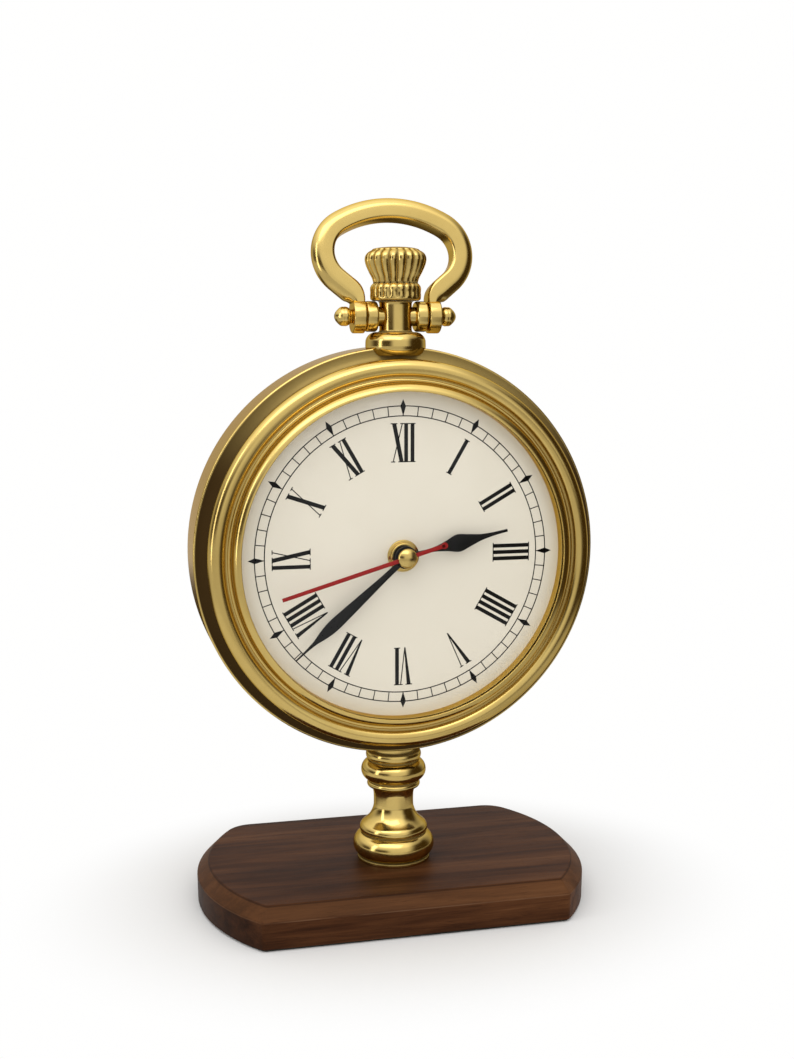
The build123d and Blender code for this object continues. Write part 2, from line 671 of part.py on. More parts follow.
def case_drum():
    """Drum with a cove before its band, a hole for the tie rod and a boss inside for the pendant's nut."""
    face = outline(
        (DRUM_BORE_RADIUS, DRUM_BACK), *drum_outside(0), (NECK_BORE_RADIUS, NECK_FRONT_Y),
        (NECK_BORE_RADIUS, COVE_FRONT_Y + COVE_WALL), (DRUM_BORE_RADIUS, DRUM_WALL - DRUM_FRONT))
    drum = turned_facing(face)
    drum -= Pos(0, 0, -DRUM_RADIUS) * upright_rod(ROD_HOLE_RADIUS, -OVERRUN, DRUM_WALL + OVERRUN)
    seat = DRUM_RADIUS - PENDANT_SEAT_DEPTH
    nut_room = PENDANT_NUT_FLATS / math.sqrt(3) + PENDANT_NUT_GAP
    over_boss = Pos(0, -PENDANT_FORWARD, 0)
    drum += over_boss * upright_rod(PENDANT_BOSS_RADIUS, seat, DRUM_RADIUS) & drum_core()
    drum -= over_boss * upright_rod(nut_room, seat - PENDANT_NUT_THICKNESS - OVERRUN, seat)
    drum -= over_boss * upright_rod(SPIGOT_RADIUS + SEAT, seat - OVERRUN, DRUM_RADIUS + OVERRUN)
    return on_case(drum)


def dial_seat():
    """Ring in the drum's neck that the dial plate rests on."""
    return on_case(ring_plate(NECK_BORE_RADIUS - SLIP, DIAL_SEAT_BORE, PLATE_BACK_Y, DIAL_SEAT_THICKNESS))


def cover_seat():
    """Ring in the back of the drum, tapped for the screws of the rear cover."""
    front = COVER_Y - COVER_SEAT_THICKNESS
    seat = ring_plate(DRUM_BORE_RADIUS - SLIP, COVER_SEAT_BORE, front, COVER_SEAT_THICKNESS)
    for x, z in cover_screw_places():
        seat -= facing_rod(COVER_SCREW_RADIUS + SLIP, front - OVERRUN, COVER_BACK_Y, (x, z))
    return on_case(seat)


def bezel():
    back = COVE_FRONT_Y - BEZEL_GAP
    rim_front = back - BEZEL_RIM_LENGTH
    groove = NECK_FRONT_Y - BEZEL_FLOOR
    bead_front = GLASS_FRONT_Y - BEAD_LIP
    bore = NECK_RADIUS + SEAT
    face = outline(
        (bore, back), (bore, NECK_FRONT_Y), (GLASS_SEAT_RADIUS, NECK_FRONT_Y),
        (GLASS_SEAT_RADIUS, GLASS_FRONT_Y),
        (GLASS_RING_RADIUS, GLASS_FRONT_Y), (GLASS_RING_RADIUS, bead_front),
        ((BEAD_RADIUS, groove), BEAD_BULGE_SHARE), (BEAD_RADIUS + BEAD_GROOVE_WIDTH, groove),
        ((BEZEL_RIDGE_RADIUS, groove), BEZEL_RIDGE_BULGE_SHARE), (BEZEL_GROOVE_RADIUS, groove),
        ((BEZEL_RIM_RADIUS, rim_front), BEZEL_BULGE_SHARE), (BEZEL_RIM_RADIUS, back))
    return on_case(turned_facing(face))


def glass_ring():
    outer = GLASS_RING_RADIUS + GLASS_RING_WALL
    return on_case(ring_plate(outer, GLASS_RING_RADIUS, GLASS_Y, GLASS_RING_LENGTH))


def glass():
    """Watch glass: flat rim in its seat, domed in the middle."""
    rim = GLASS_RING_RADIUS + GLASS_RING_WALL
    start = GLASS_RING_RADIUS - GLASS_THICKNESS
    half_bulge_share = arc_share(GLASS_DOME, start)
    face = outline(
        (0, GLASS_FRONT_Y - GLASS_DOME), (0, GLASS_Y - GLASS_DOME),
        ((start, GLASS_Y), half_bulge_share), (rim, GLASS_Y), (rim, GLASS_FRONT_Y),
        (start, GLASS_FRONT_Y), ((0, GLASS_FRONT_Y - GLASS_DOME), -half_bulge_share))
    return on_case(turned_facing(face))


def dial():
    return on_case(ring_plate(NECK_BORE_RADIUS - SEAT, BUSHING_RADIUS + SEAT, DIAL_Y, DIAL_THICKNESS))


def dial_plate():
    return on_case(ring_plate(NECK_BORE_RADIUS - SEAT, BUSHING_RADIUS + SEAT, PLATE_Y, PLATE_THICKNESS))


def cover_screw_places():
    step = 360 / COVER_SCREW_COUNT
    angles = [COVER_SCREW_FIRST_ANGLE + step * count for count in range(COVER_SCREW_COUNT)]
    return [polar(COVER_SCREW_CIRCLE, angle) for angle in angles]


def rear_cover():
    rim = DRUM_BORE_RADIUS - SEAT
    opening_rim = REAR_OPENING_RADIUS + REAR_COVER_THICKNESS
    lip_share = arc_share(REAR_COVER_THICKNESS - REAR_OPENING_LIP, REAR_COVER_THICKNESS)
    face = outline(
        (REAR_OPENING_RADIUS, COVER_Y), (rim, COVER_Y), (rim, COVER_BACK_Y), (opening_rim, COVER_BACK_Y),
        ((REAR_OPENING_RADIUS, COVER_Y + REAR_OPENING_LIP), lip_share))
    cover = turned_facing(face)
    for x, z in cover_screw_places():
        cover -= facing_rod(COVER_SCREW_RADIUS + SEAT, COVER_Y - OVERRUN, COVER_BACK_Y + OVERRUN, (x, z))
    return on_case(cover)


def rear_cover_screws():
    dome_share = arc_share(COVER_SCREW_HEAD_HEIGHT, COVER_SCREW_HEAD_RADIUS)
    head = COVER_BACK_Y + COVER_SCREW_HEAD_HEIGHT
    face = outline(
        (0, COVER_Y - COVER_SCREW_LENGTH + SEAT), (COVER_SCREW_RADIUS, COVER_Y - COVER_SCREW_LENGTH + SEAT),
        (COVER_SCREW_RADIUS, COVER_BACK_Y), (COVER_SCREW_HEAD_RADIUS, COVER_BACK_Y), ((0, head), dome_share))
    slot = block(-COVER_SCREW_HEAD_RADIUS, COVER_SCREW_HEAD_RADIUS, head - SLOT_DEPTH, head + OVERRUN,
                 -SLOT_WIDTH / 2, SLOT_WIDTH / 2)
    screw = turned_facing(face) - slot
    placed = []
    for count, (x, z) in enumerate(cover_screw_places()):
        placed.append(Pos(x, 0, z) * Rot(0, count * COVER_SCREW_TURN, 0) * screw)
    return on_case(Compound(placed))


# Pendant, crown and bow

def pendant_collar():
    """Rounded collar, hollowed to sit on the drum's band and to hang over its front edge."""
    low = DRUM_TOP_Z - PENDANT_COLLAR_OVERHANG
    widest = (low + PENDANT_TOP_Z) / 2
    face = outline(
        (SPIGOT_RADIUS + SEAT, low), (PENDANT_COLLAR_SKIRT_RADIUS, low),
        ((PENDANT_COLLAR_RADIUS, widest), PENDANT_COLLAR_LOW_BULGE_SHARE),
        ((PENDANT_COLLAR_TOP_RADIUS, PENDANT_TOP_Z), PENDANT_COLLAR_TOP_BULGE_SHARE),
        (SPIGOT_RADIUS + SEAT, PENDANT_TOP_Z))
    return turned_upright(face) - Pos(0, PENDANT_FORWARD, CASE_Z) * drum_core(SLIP)


def pendant_neck():
    """Neck with a threaded spigot below, two cross arms and their discs, bored for the crown's stem."""
    flared = NECK_PILLAR_RADIUS + NECK_FLARE
    hollow_share = -arc_share(NECK_FLARE, NECK_FLARE)
    face = outline(
        (0, PENDANT_TOP_Z), (flared, PENDANT_TOP_Z),
        ((NECK_PILLAR_RADIUS, PENDANT_TOP_Z + NECK_FLARE), hollow_share),
        (NECK_PILLAR_RADIUS, NECK_TOP_Z - NECK_FLARE), ((flared, NECK_TOP_Z), hollow_share), (0, NECK_TOP_Z))
    neck = turned_upright(face)
    neck += upright_rod(SPIGOT_RADIUS, SPIGOT_END_Z, PENDANT_TOP_Z)
    for side in (-1, 1):
        disc = cross_rod(DISC_RADIUS, DISC_INNER_X, DISC_OUTER_X)
        disc = chamfer(disc.edges().filter_by(GeomType.CIRCLE), DISC_EDGE)
        arm = cross_rod(ARM_RADIUS, 0, DISC_INNER_X)
        neck += Pos(0, 0, PIVOT_Z) * Rot(0, 0, 90 - 90 * side) * (disc + arm)
        hole = cross_rod(BOW_SCREW_RADIUS + SLIP, DISC_OUTER_X - BOW_SCREW_GRIP, DISC_OUTER_X + OVERRUN)
        neck -= Pos(0, 0, PIVOT_Z) * Rot(0, 0, 90 - 90 * side) * hole
    return neck - upright_rod(STEM_RADIUS + SLIP, SPIGOT_END_Z - OVERRUN, NECK_TOP_Z + OVERRUN)


def pendant_nut():
    nut = hex_nut(PENDANT_NUT_FLATS, PENDANT_NUT_THICKNESS, SPIGOT_RADIUS + SLIP)
    return Pos(0, 0, PENDANT_SEAT_Z - PENDANT_NUT_THICKNESS) * nut


def crown_section(radius, height):
    """Level outline of convex ribs that reach the radius, with a valley between each two."""
    valley = radius - CROWN_FLUTE_DEPTH
    half_step = math.pi / CROWN_FLUTES
    chord = 2 * valley * math.sin(half_step)
    bulge_share = (radius - valley * math.cos(half_step)) / chord
    valleys = [polar(valley, 360 * count / CROWN_FLUTES) for count in range(CROWN_FLUTES)]
    ribs = [(point, bulge_share) for point in valleys[1:] + valleys[:1]]
    return Pos(0, 0, height) * outline(valleys[0], *ribs)


def crown():
    """Ribbed crown: a straight skirt, a waist and a rounded head with a low dome."""
    waist = CROWN_Z + CROWN_SKIRT_HEIGHT
    widening = CROWN_TOP_RADIUS - CROWN_WAIST_RADIUS
    head = [(CROWN_WAIST_RADIUS + widening * out, waist + CROWN_HEAD_HEIGHT * up)
            for up, out in CROWN_HEAD_SHARES]
    levels = [(CROWN_SKIRT_RADIUS - CROWN_SKIRT_EDGE, CROWN_Z),
              (CROWN_SKIRT_RADIUS, CROWN_Z + CROWN_SKIRT_EDGE),
              (CROWN_SKIRT_RADIUS, waist - CROWN_SKIRT_EDGE), (CROWN_WAIST_RADIUS, waist)] + head
    body = loft([crown_section(radius, height) for radius, height in levels], ruled=True)
    rim, top = head[-1]
    dome_radius = rim - CROWN_FLUTE_DEPTH - CROWN_DOME_INSET
    dome = outline((0, top), (dome_radius, top), ((0, top + CROWN_DOME), arc_share(CROWN_DOME, dome_radius)))
    body += turned_upright(dome)
    return body - upright_rod(STEM_RADIUS + SLIP, CROWN_Z - OVERRUN, CROWN_Z + STEM_IN_CROWN)


def crown_stem():
    return upright_rod(STEM_RADIUS, SPIGOT_END_Z - STEM_BELOW_SPIGOT, CROWN_Z + STEM_IN_CROWN - SEAT)


def stem_clip():
    clip = upright_rod(CLIP_RADIUS, CLIP_Z, CLIP_Z + CLIP_THICKNESS)
    return clip - upright_rod(STEM_RADIUS + SLIP, CLIP_Z - OVERRUN, CLIP_Z + CLIP_THICKNESS + OVERRUN)


def bow_path():
    """Half of the bow's centre line in (x, z) from the ear up, as tangent runs and arcs, then its mirror."""
    flare = math.radians(90 - BOW_FLARE_ANGLE)
    crest = flare + math.radians(BOW_SHOULDER_ANGLE)
    ear = (BOW_EAR_INNER_X + BOW_EAR_OUTER_X) / 2

    def turn(start, radius, heading, new_heading):
        """Arc that turns from one heading to another, with its middle point and end."""
        side = 1 if new_heading > heading else -1
        points = []
        for angle in ((heading + new_heading) / 2, new_heading):
            points.append((start[0] + side * radius * (math.sin(angle) - math.sin(heading)),
                           start[1] - side * radius * (math.cos(angle) - math.cos(heading))))
        return points

    rise = (ear, BOW_EAR_RISE)
    waist_middle, waist = turn(rise, BOW_WAIST_RADIUS, math.pi / 2, flare)
    run = (BOW_HALF_WIDTH - BOW_SHOULDER_RADIUS * (1 - math.sin(flare)) - waist[0]) / math.cos(flare)
    arm = (waist[0] + run * math.cos(flare), waist[1] + run * math.sin(flare))
    shoulder_middle, shoulder = turn(arm, BOW_SHOULDER_RADIUS, flare, crest)
    crown_radius = shoulder[0] / math.sin(crest)
    top = (0, shoulder[1] + crown_radius * (1 + math.cos(crest)))
    crown_middle, _ = turn(shoulder, crown_radius, crest, math.pi)
    half = [((ear, 0), None, rise), (rise, waist_middle, waist), (waist, None, arm),
            (arm, shoulder_middle, shoulder), (shoulder, crown_middle, top)]

    def mirrored(point):
        return (-point[0], point[1]) if point else None

    whole = half + [tuple(mirrored(point) for point in reversed(piece)) for piece in reversed(half)]
    edges = []
    for start, middle, end in whole:
        places = [(point[0], 0, point[1]) for point in (start, middle, end) if point]
        edges.append(Line(*places) if middle is None else ThreePointArc(*places))
    return Wire(edges), ear


def bow():
    """Omega bow: a band with flat faces and a rounded outer edge, on two ears, leaning back."""
    path, ear = bow_path()
    half_band = BOW_BAND / 2
    half_depth = BOW_DEPTH / 2
    face_end = BOW_INNER_EDGE + BOW_FACE - half_band
    flat = BOW_OUTER_FLAT / 2
    section = outline(
        (-half_band, -half_depth + BOW_INNER_EDGE), (BOW_INNER_EDGE - half_band, -half_depth),
        (face_end, -half_depth),
        ((half_band, -flat), BOW_BEVEL_BULGE_SHARE), (half_band, flat),
        ((face_end, half_depth), BOW_BEVEL_BULGE_SHARE), (BOW_INNER_EDGE - half_band, half_depth),
        (-half_band, half_depth - BOW_INNER_EDGE))
    band = sweep(Pos(ear, 0, 0) * section, path=path)
    reach = BOW_HALF_WIDTH + BOW_BAND
    beside_ears = [(-BOW_EAR_INNER_X, BOW_EAR_INNER_X), (BOW_EAR_OUTER_X, reach), (-reach, -BOW_EAR_OUTER_X)]
    for inner, outer in beside_ears:
        band -= cross_rod(BOW_EAR_RADIUS, inner, outer)
    for side in (-1, 1):
        knuckle = cross_rod(BOW_EAR_RADIUS, BOW_EAR_INNER_X, BOW_EAR_OUTER_X)
        band += Rot(0, 0, 90 - 90 * side) * knuckle
    band -= cross_rod(BOW_SCREW_RADIUS + SLIP, -reach, reach)
    return Pos(0, 0, PIVOT_Z) * Rot(-BOW_LEAN, 0, 0) * band


def bow_screws():
    """Ball-headed screw at each ear, turning pin of the bow."""
    neck = BOW_EAR_OUTER_X + END_PLAY
    shoulder = neck + BOW_SCREW_NECK
    ball = shoulder + math.sqrt(BOW_SCREW_HEAD_RADIUS ** 2 - BOW_SCREW_NECK_RADIUS ** 2)
    screw = cross_rod(BOW_SCREW_RADIUS, DISC_OUTER_X - BOW_SCREW_GRIP + SEAT, neck)
    screw += cross_rod(BOW_SCREW_NECK_RADIUS, neck, shoulder + SEAT)
    screw += Pos(ball, 0, 0) * Sphere(BOW_SCREW_HEAD_RADIUS)
    screw -= block(ball + BOW_SCREW_HEAD_RADIUS - SLOT_DEPTH, ball + BOW_SCREW_HEAD_RADIUS + OVERRUN,
                   -SLOT_WIDTH / 2, SLOT_WIDTH / 2, -BOW_SCREW_HEAD_RADIUS, BOW_SCREW_HEAD_RADIUS)
    return Pos(0, 0, PIVOT_Z) * Compound([screw, Rot(0, 0, 180) * screw])


# Movement housing

BOARD_Y = layer_y(THIRD_LAYER)


def bridge_posts():
    """Plan places of the four posts that carry the bridge, inset from its corners."""
    left, right = BRIDGE_LEFT + POST_INSET, BRIDGE_RIGHT - POST_INSET
    low, high = BRIDGE_BOTTOM + POST_INSET, BRIDGE_TOP - POST_INSET
    return [(left, low), (left, high), (right, low), (right, high)]


def board_posts():
    return [(BOARD_LEFT + BOARD_LENGTH * share, BOARD_TOP - BOARD_HEIGHT / 2) for share in BOARD_POST_SHARES]


def housing_face(margin):
    """Plan of the housing, drawn in by a margin."""
    reach = MOVEMENT_SIDE_WALL - margin
    height = INNER_TOP - INNER_BOTTOM + 2 * reach
    plan = RectangleRounded(2 * (INNER_HALF + reach), height, MOVEMENT_CORNER - margin)
    return Pos(0, (INNER_TOP + INNER_BOTTOM) / 2, 0) * plan


def movement_front():
    shell = facing_plate(housing_face(0), MOVEMENT_Y, LID_Y - MOVEMENT_Y)
    shell -= facing_plate(housing_face(MOVEMENT_SIDE_WALL), INNER_Y, LID_Y - INNER_Y + OVERRUN)
    shell += block(-INNER_HALF, INNER_HALF, INNER_Y, LID_Y, PARTITION_Z, PARTITION_Z + PARTITION)
    shell += facing_rod(BUSHING_RADIUS, BUSHING_END_Y, MOVEMENT_Y)
    shell -= facing_rod(HOUR_PIPE_RADIUS + SLIP, BUSHING_END_Y - OVERRUN, INNER_Y + OVERRUN)
    for at in bridge_posts():
        shell += facing_rod(POST_RADIUS, INNER_Y, BRIDGE_Y, at)
    for at in board_posts():
        shell += facing_rod(POST_RADIUS, INNER_Y, BOARD_Y, at)
    shell += facing_rod(MINUTE_POST_RADIUS, INNER_Y, layer_y(MINUTE_LAYER) + LAYER_THICKNESS, MINUTE_AT)
    for at in (THIRD_AT, KNOB_AT):
        shell -= pivot_hole(at, INNER_Y)
    return on_case(shell)


def movement_back():
    lid = facing_plate(housing_face(0), LID_Y, MOVEMENT_LID)
    bay_half = INNER_HALF - SEAT
    lid -= block(-bay_half, bay_half, LID_Y - OVERRUN, MOVEMENT_BACK_Y + OVERRUN, CELL_Z - CELL_RADIUS - SEAT,
                 PARTITION_Z)
    lid -= facing_rod(KNOB_SHAFT_RADIUS + SLIP, LID_Y - OVERRUN, MOVEMENT_BACK_Y + OVERRUN, KNOB_AT)
    for at in (CENTRE_AT, THIRD_AT, INTERMEDIATE_AT, ROTOR_AT):
        lid -= pivot_hole(at, LID_Y)
    return on_case(lid)


def rubber_washer():
    return on_case(ring_plate(RUBBER_RADIUS, BUSHING_RADIUS + SEAT, PLATE_BACK_Y, RUBBER_THICKNESS))


def movement_nut():
    """Round nut on the dial, with a wide flange and a stepped front."""
    bore = BUSHING_RADIUS + SLIP
    flange = DIAL_Y - DIAL_NUT_FLANGE
    front = DIAL_Y - DIAL_NUT_HEIGHT
    edge = DIAL_NUT_EDGE
    face = outline((bore, DIAL_Y), (bore, front), (DIAL_NUT_STEP_RADIUS - edge, front),
                   (DIAL_NUT_STEP_RADIUS, front + edge), (DIAL_NUT_STEP_RADIUS, flange),
                   (DIAL_NUT_RADIUS - edge, flange), (DIAL_NUT_RADIUS, flange + edge),
                   (DIAL_NUT_RADIUS, DIAL_Y))
    return on_case(turned_facing(face))


def train_bridge():
    back = BRIDGE_THICKNESS
    plate = block(BRIDGE_LEFT, BRIDGE_RIGHT, BRIDGE_Y, BRIDGE_Y + back, BRIDGE_BOTTOM, BRIDGE_TOP)
    plate += block(BRIDGE_RIGHT - OVERRUN, ROTOR_AT[0] + BRIDGE_TONGUE / 2, BRIDGE_Y, BRIDGE_Y + back,
                   ROTOR_AT[1] - BRIDGE_TONGUE, ROTOR_AT[1] + BRIDGE_TONGUE)
    through = BRIDGE_Y - OVERRUN, BRIDGE_Y + back + OVERRUN
    for at in (CENTRE_AT, THIRD_AT):
        plate -= facing_rod(ARBOR_RADIUS + SLIP, *through, at)
    for at in (INTERMEDIATE_AT, ROTOR_AT):
        plate -= pivot_hole(at, BRIDGE_Y + back)
    return on_case(plate)


# Wheel train

BRIDGE_BACK_Y = BRIDGE_Y + BRIDGE_THICKNESS


def bored(wheel, radius, at, front, back):
    return wheel - facing_rod(radius, front - OVERRUN, back + OVERRUN, at)


def rotor():
    magnet = layer_y(ROTOR_LAYER) - LAYER_GAP - MAGNET_LENGTH
    body = gear(ROTOR_DISTANCE, ROTOR_PINION_TEETH, INTERMEDIATE_TEETH, ROTOR_LAYER,
                ROTOR_AT, INTERMEDIATE_AT)
    body += facing_rod(MAGNET_RADIUS, magnet, magnet + MAGNET_LENGTH, ROTOR_AT)
    return on_case(body + arbor(ROTOR_AT, BRIDGE_BACK_Y, LID_Y))


def intermediate_wheel():
    body = gear(ROTOR_DISTANCE, INTERMEDIATE_TEETH, ROTOR_PINION_TEETH, ROTOR_LAYER,
                INTERMEDIATE_AT, ROTOR_AT, True)
    body += gear(INTERMEDIATE_DISTANCE, INTERMEDIATE_PINION_TEETH, SECONDS_TEETH, SECONDS_LAYER,
                 INTERMEDIATE_AT, CENTRE_AT)
    return on_case(body + arbor(INTERMEDIATE_AT, BRIDGE_BACK_Y, LID_Y))


def seconds_wheel():
    """Wheel and pinion on the long arbor that runs through to the second hand."""
    body = gear(INTERMEDIATE_DISTANCE, SECONDS_TEETH, INTERMEDIATE_PINION_TEETH, SECONDS_LAYER,
                CENTRE_AT, INTERMEDIATE_AT, True)
    body += gear(THIRD_DISTANCE, SECONDS_PINION_TEETH, THIRD_TEETH, THIRD_LAYER, CENTRE_AT, THIRD_AT)
    body += facing_rod(ARBOR_RADIUS, SECOND_HAND_Y, LID_Y - SEAT)
    return on_case(body + facing_rod(PIVOT_RADIUS, LID_Y - SEAT - PIVOT_LENGTH, LID_Y + PIVOT_LENGTH))


def third_wheel():
    body = gear(THIRD_DISTANCE, THIRD_TEETH, SECONDS_PINION_TEETH, THIRD_LAYER, THIRD_AT, CENTRE_AT, True)
    body += gear(THIRD_DISTANCE, THIRD_PINION_TEETH, CENTRE_TEETH, CENTRE_LAYER, THIRD_AT, CENTRE_AT)
    return on_case(body + arbor(THIRD_AT, INNER_Y, LID_Y))


def centre_wheel():
    """Wheel and cannon pinion on the tube that carries the minute hand."""
    body = gear(THIRD_DISTANCE, CENTRE_TEETH, THIRD_PINION_TEETH, CENTRE_LAYER, CENTRE_AT, THIRD_AT, True)
    body += gear(MINUTE_DISTANCE, CANNON_TEETH, MINUTE_TEETH, MINUTE_LAYER, CENTRE_AT, MINUTE_AT, True)
    end = BRIDGE_Y - SEAT
    body += facing_rod(CENTRE_TUBE_RADIUS, MINUTE_HAND_Y, end)
    return on_case(bored(body, ARBOR_RADIUS + SLIP, CENTRE_AT, MINUTE_HAND_Y, end))


def minute_wheel():
    body = gear(MINUTE_DISTANCE, MINUTE_TEETH, CANNON_TEETH, MINUTE_LAYER, MINUTE_AT, CENTRE_AT)
    body += gear(MINUTE_DISTANCE, MINUTE_PINION_TEETH, HOUR_TEETH, HOUR_LAYER, MINUTE_AT, CENTRE_AT)
    end = layer_y(MINUTE_LAYER) + LAYER_THICKNESS
    body += facing_rod(WHEEL_HUB_RADIUS, INNER_Y + SEAT, end, MINUTE_AT)
    return on_case(bored(body, MINUTE_POST_RADIUS + SLIP, MINUTE_AT, INNER_Y, end))


def hour_wheel():
    """Wheel on the pipe that carries the hour hand."""
    body = gear(MINUTE_DISTANCE, HOUR_TEETH, MINUTE_PINION_TEETH, HOUR_LAYER, CENTRE_AT, MINUTE_AT, True)
    end = layer_y(HOUR_LAYER) + LAYER_THICKNESS
    body += facing_rod(HOUR_PIPE_RADIUS, HOUR_HAND_Y, end)
    body += facing_rod(HOUR_PIPE_RADIUS + WHEEL_HUB_RADIUS, INNER_Y + SEAT, end)
    return on_case(bored(body, CENTRE_TUBE_RADIUS + SLIP, CENTRE_AT, HOUR_HAND_Y, end))


def set_knob():
    pinion = gear(KNOB_DISTANCE, KNOB_TEETH, MINUTE_TEETH, MINUTE_LAYER, KNOB_AT, MINUTE_AT, True)
    head = MOVEMENT_BACK_Y + KNOB_STANDOFF
    shaft = facing_rod(KNOB_SHAFT_RADIUS, INNER_Y + SEAT, head + SEAT, KNOB_AT)
    pivot = facing_rod(PIVOT_RADIUS, INNER_Y - PIVOT_LENGTH, INNER_Y + PIVOT_LENGTH, KNOB_AT)
    cap = facing_rod(KNOB_RADIUS, head, head + KNOB_HEIGHT)
    cutters = [facing_rod(KNOB_FLUTE_RADIUS, head - OVERRUN, head + KNOB_HEIGHT + OVERRUN,
                          polar(KNOB_RADIUS, 360 * count / KNOB_FLUTES)) for count in range(KNOB_FLUTES)]
    return on_case(pinion + shaft + pivot + Pos(KNOB_AT[0], 0, KNOB_AT[1]) * (cap - cutters))


# Step motor, electronics and cell

STATOR_Y = layer_y(ROTOR_LAYER) - LAYER_GAP - (MAGNET_LENGTH + STATOR_THICKNESS) / 2
STATOR_BACK_Y = STATOR_Y + STATOR_THICKNESS
COIL_Z = ROTOR_AT[1]
COIL_LOW = COIL_Z - COIL_LENGTH / 2
COIL_HIGH = COIL_Z + COIL_LENGTH / 2


def coil_tube(radius, low, high):
    """Upright cylinder round the coil's core."""
    return Pos(COIL_X, (STATOR_Y + STATOR_BACK_Y) / 2, 0) * upright_rod(radius, low, high)


def coil_core_hole():
    half = COIL_CORE_WIDTH / 2 + SEAT
    return block(COIL_X - half, COIL_X + half, STATOR_Y - SEAT, STATOR_BACK_Y + SEAT, COIL_LOW - OVERRUN,
                 COIL_HIGH + OVERRUN)


def stator():
    """Pole plate round the rotor, with two legs joined by the bar that runs through the coil."""
    hole = MAGNET_RADIUS + STATOR_AIR_GAP
    left = ROTOR_AT[0] - hole - STATOR_LEFT_MARGIN
    right = COIL_X + COIL_CORE_WIDTH / 2
    window_left = COIL_X - COIL_RADIUS - END_PLAY
    plate = block(left, right, STATOR_Y, STATOR_BACK_Y, COIL_LOW - STATOR_LEG, COIL_HIGH + STATOR_LEG)
    plate -= block(window_left, COIL_X - COIL_CORE_WIDTH / 2, STATOR_Y - OVERRUN, STATOR_BACK_Y + OVERRUN,
                   COIL_LOW - SEAT, COIL_HIGH + SEAT)
    return on_case(plate - facing_rod(hole, STATOR_Y - OVERRUN, STATOR_BACK_Y + OVERRUN, ROTOR_AT))


def coil_bobbin():
    spool = coil_tube(BOBBIN_TUBE_RADIUS, COIL_LOW, COIL_HIGH)
    for low in (COIL_LOW, COIL_HIGH - BOBBIN_WALL):
        spool += coil_tube(COIL_RADIUS, low, low + BOBBIN_WALL)
    return on_case(spool - coil_core_hole())


def coil_winding():
    low, high = COIL_LOW + BOBBIN_WALL, COIL_HIGH - BOBBIN_WALL
    winding = coil_tube(COIL_RADIUS - SEAT, low, high)
    return on_case(winding - coil_tube(BOBBIN_TUBE_RADIUS, low - OVERRUN, high + OVERRUN))


def circuit_board():
    board = block(BOARD_LEFT, BOARD_LEFT + BOARD_LENGTH, BOARD_Y, BOARD_Y + BOARD_THICKNESS,
                  BOARD_TOP - BOARD_HEIGHT, BOARD_TOP)
    chip = facing_rod(CHIP_RADIUS, BOARD_Y + BOARD_THICKNESS, BOARD_Y + BOARD_THICKNESS + CHIP_HEIGHT,
                      (BOARD_LEFT + BOARD_LENGTH / 3, BOARD_TOP - BOARD_HEIGHT / 2))
    return on_case(board + chip)


def quartz_crystal():
    can = cross_rod(CRYSTAL_RADIUS, 0, CRYSTAL_LENGTH)
    return on_case(Pos(BOARD_LEFT + BOARD_LENGTH / 2, BOARD_Y + BOARD_THICKNESS + CRYSTAL_RADIUS + SLIP / 2,
                       BOARD_TOP - BOARD_HEIGHT / 2) * can)


def battery():
    shoulder = CELL_HALF - CELL_NUB_LENGTH
    body = cross_rod(CELL_RADIUS, -CELL_HALF, shoulder)
    body = chamfer(body.edges().filter_by(GeomType.CIRCLE), CELL_EDGE)
    return on_case(Pos(0, CELL_Y, CELL_Z) * (body + cross_rod(CELL_NUB_RADIUS, shoulder, CELL_HALF)))


def battery_contact(tip_root):
    """Contact strip against the bay's right wall, with a pressed tip that touches the cell."""
    wall = INNER_HALF
    plate = block(wall - CONTACT_THICKNESS, wall, CELL_Y - CONTACT_WIDTH / 2, CELL_Y + CONTACT_WIDTH / 2,
                  CELL_Z - CONTACT_WIDTH / 2, CELL_Z + CONTACT_WIDTH / 2)
    reach = wall - CONTACT_THICKNESS - CELL_HALF - SLIP
    tip = Cone(tip_root, CONTACT_TIP_RADIUS, reach, align=(Align.CENTER, Align.CENTER, Align.MIN))
    return plate + Pos(wall - CONTACT_THICKNESS, CELL_Y, CELL_Z) * Rot(0, -90, 0) * tip


def battery_contact_plus():
    return on_case(battery_contact(CELL_NUB_RADIUS))


def battery_contact_minus():
    return on_case(Rot(0, 0, 180) * Pos(0, -2 * CELL_Y, 0) * battery_contact(CONTACT_WIDTH / 2))


# Hands

def hand_plate(length, width, shares, hub, bore, front, angle):
    """Flat hand: a two-sided outline from the shares, a round hub and a bore, turned to its angle."""
    right = [(width / 2 * half, length * along) for along, half in shares]
    left = [(-x, z) for x, z in reversed(right)]
    blade = make_face(Polyline(right + left, close=True))
    plate = facing_plate(blade, front, HAND_THICKNESS)
    plate += facing_rod(hub, front, front + HAND_THICKNESS)
    plate -= facing_rod(bore, front - OVERRUN, front + HAND_THICKNESS + OVERRUN)
    return Rot(0, angle, 0) * plate


def hour_hand():
    return on_case(hand_plate(HOUR_HAND_LENGTH, HOUR_HAND_WIDTH, HOUR_OUTLINE_SHARES, HOUR_HUB_RADIUS,
                              HOUR_PIPE_RADIUS + SLIP, HOUR_HAND_Y, HOUR_HAND_ANGLE))


def minute_hand():
    return on_case(hand_plate(MINUTE_HAND_LENGTH, MINUTE_HAND_WIDTH, MINUTE_OUTLINE_SHARES, MINUTE_HUB_RADIUS,
                              CENTRE_TUBE_RADIUS + SLIP, MINUTE_HAND_Y, MINUTE_HAND_ANGLE))


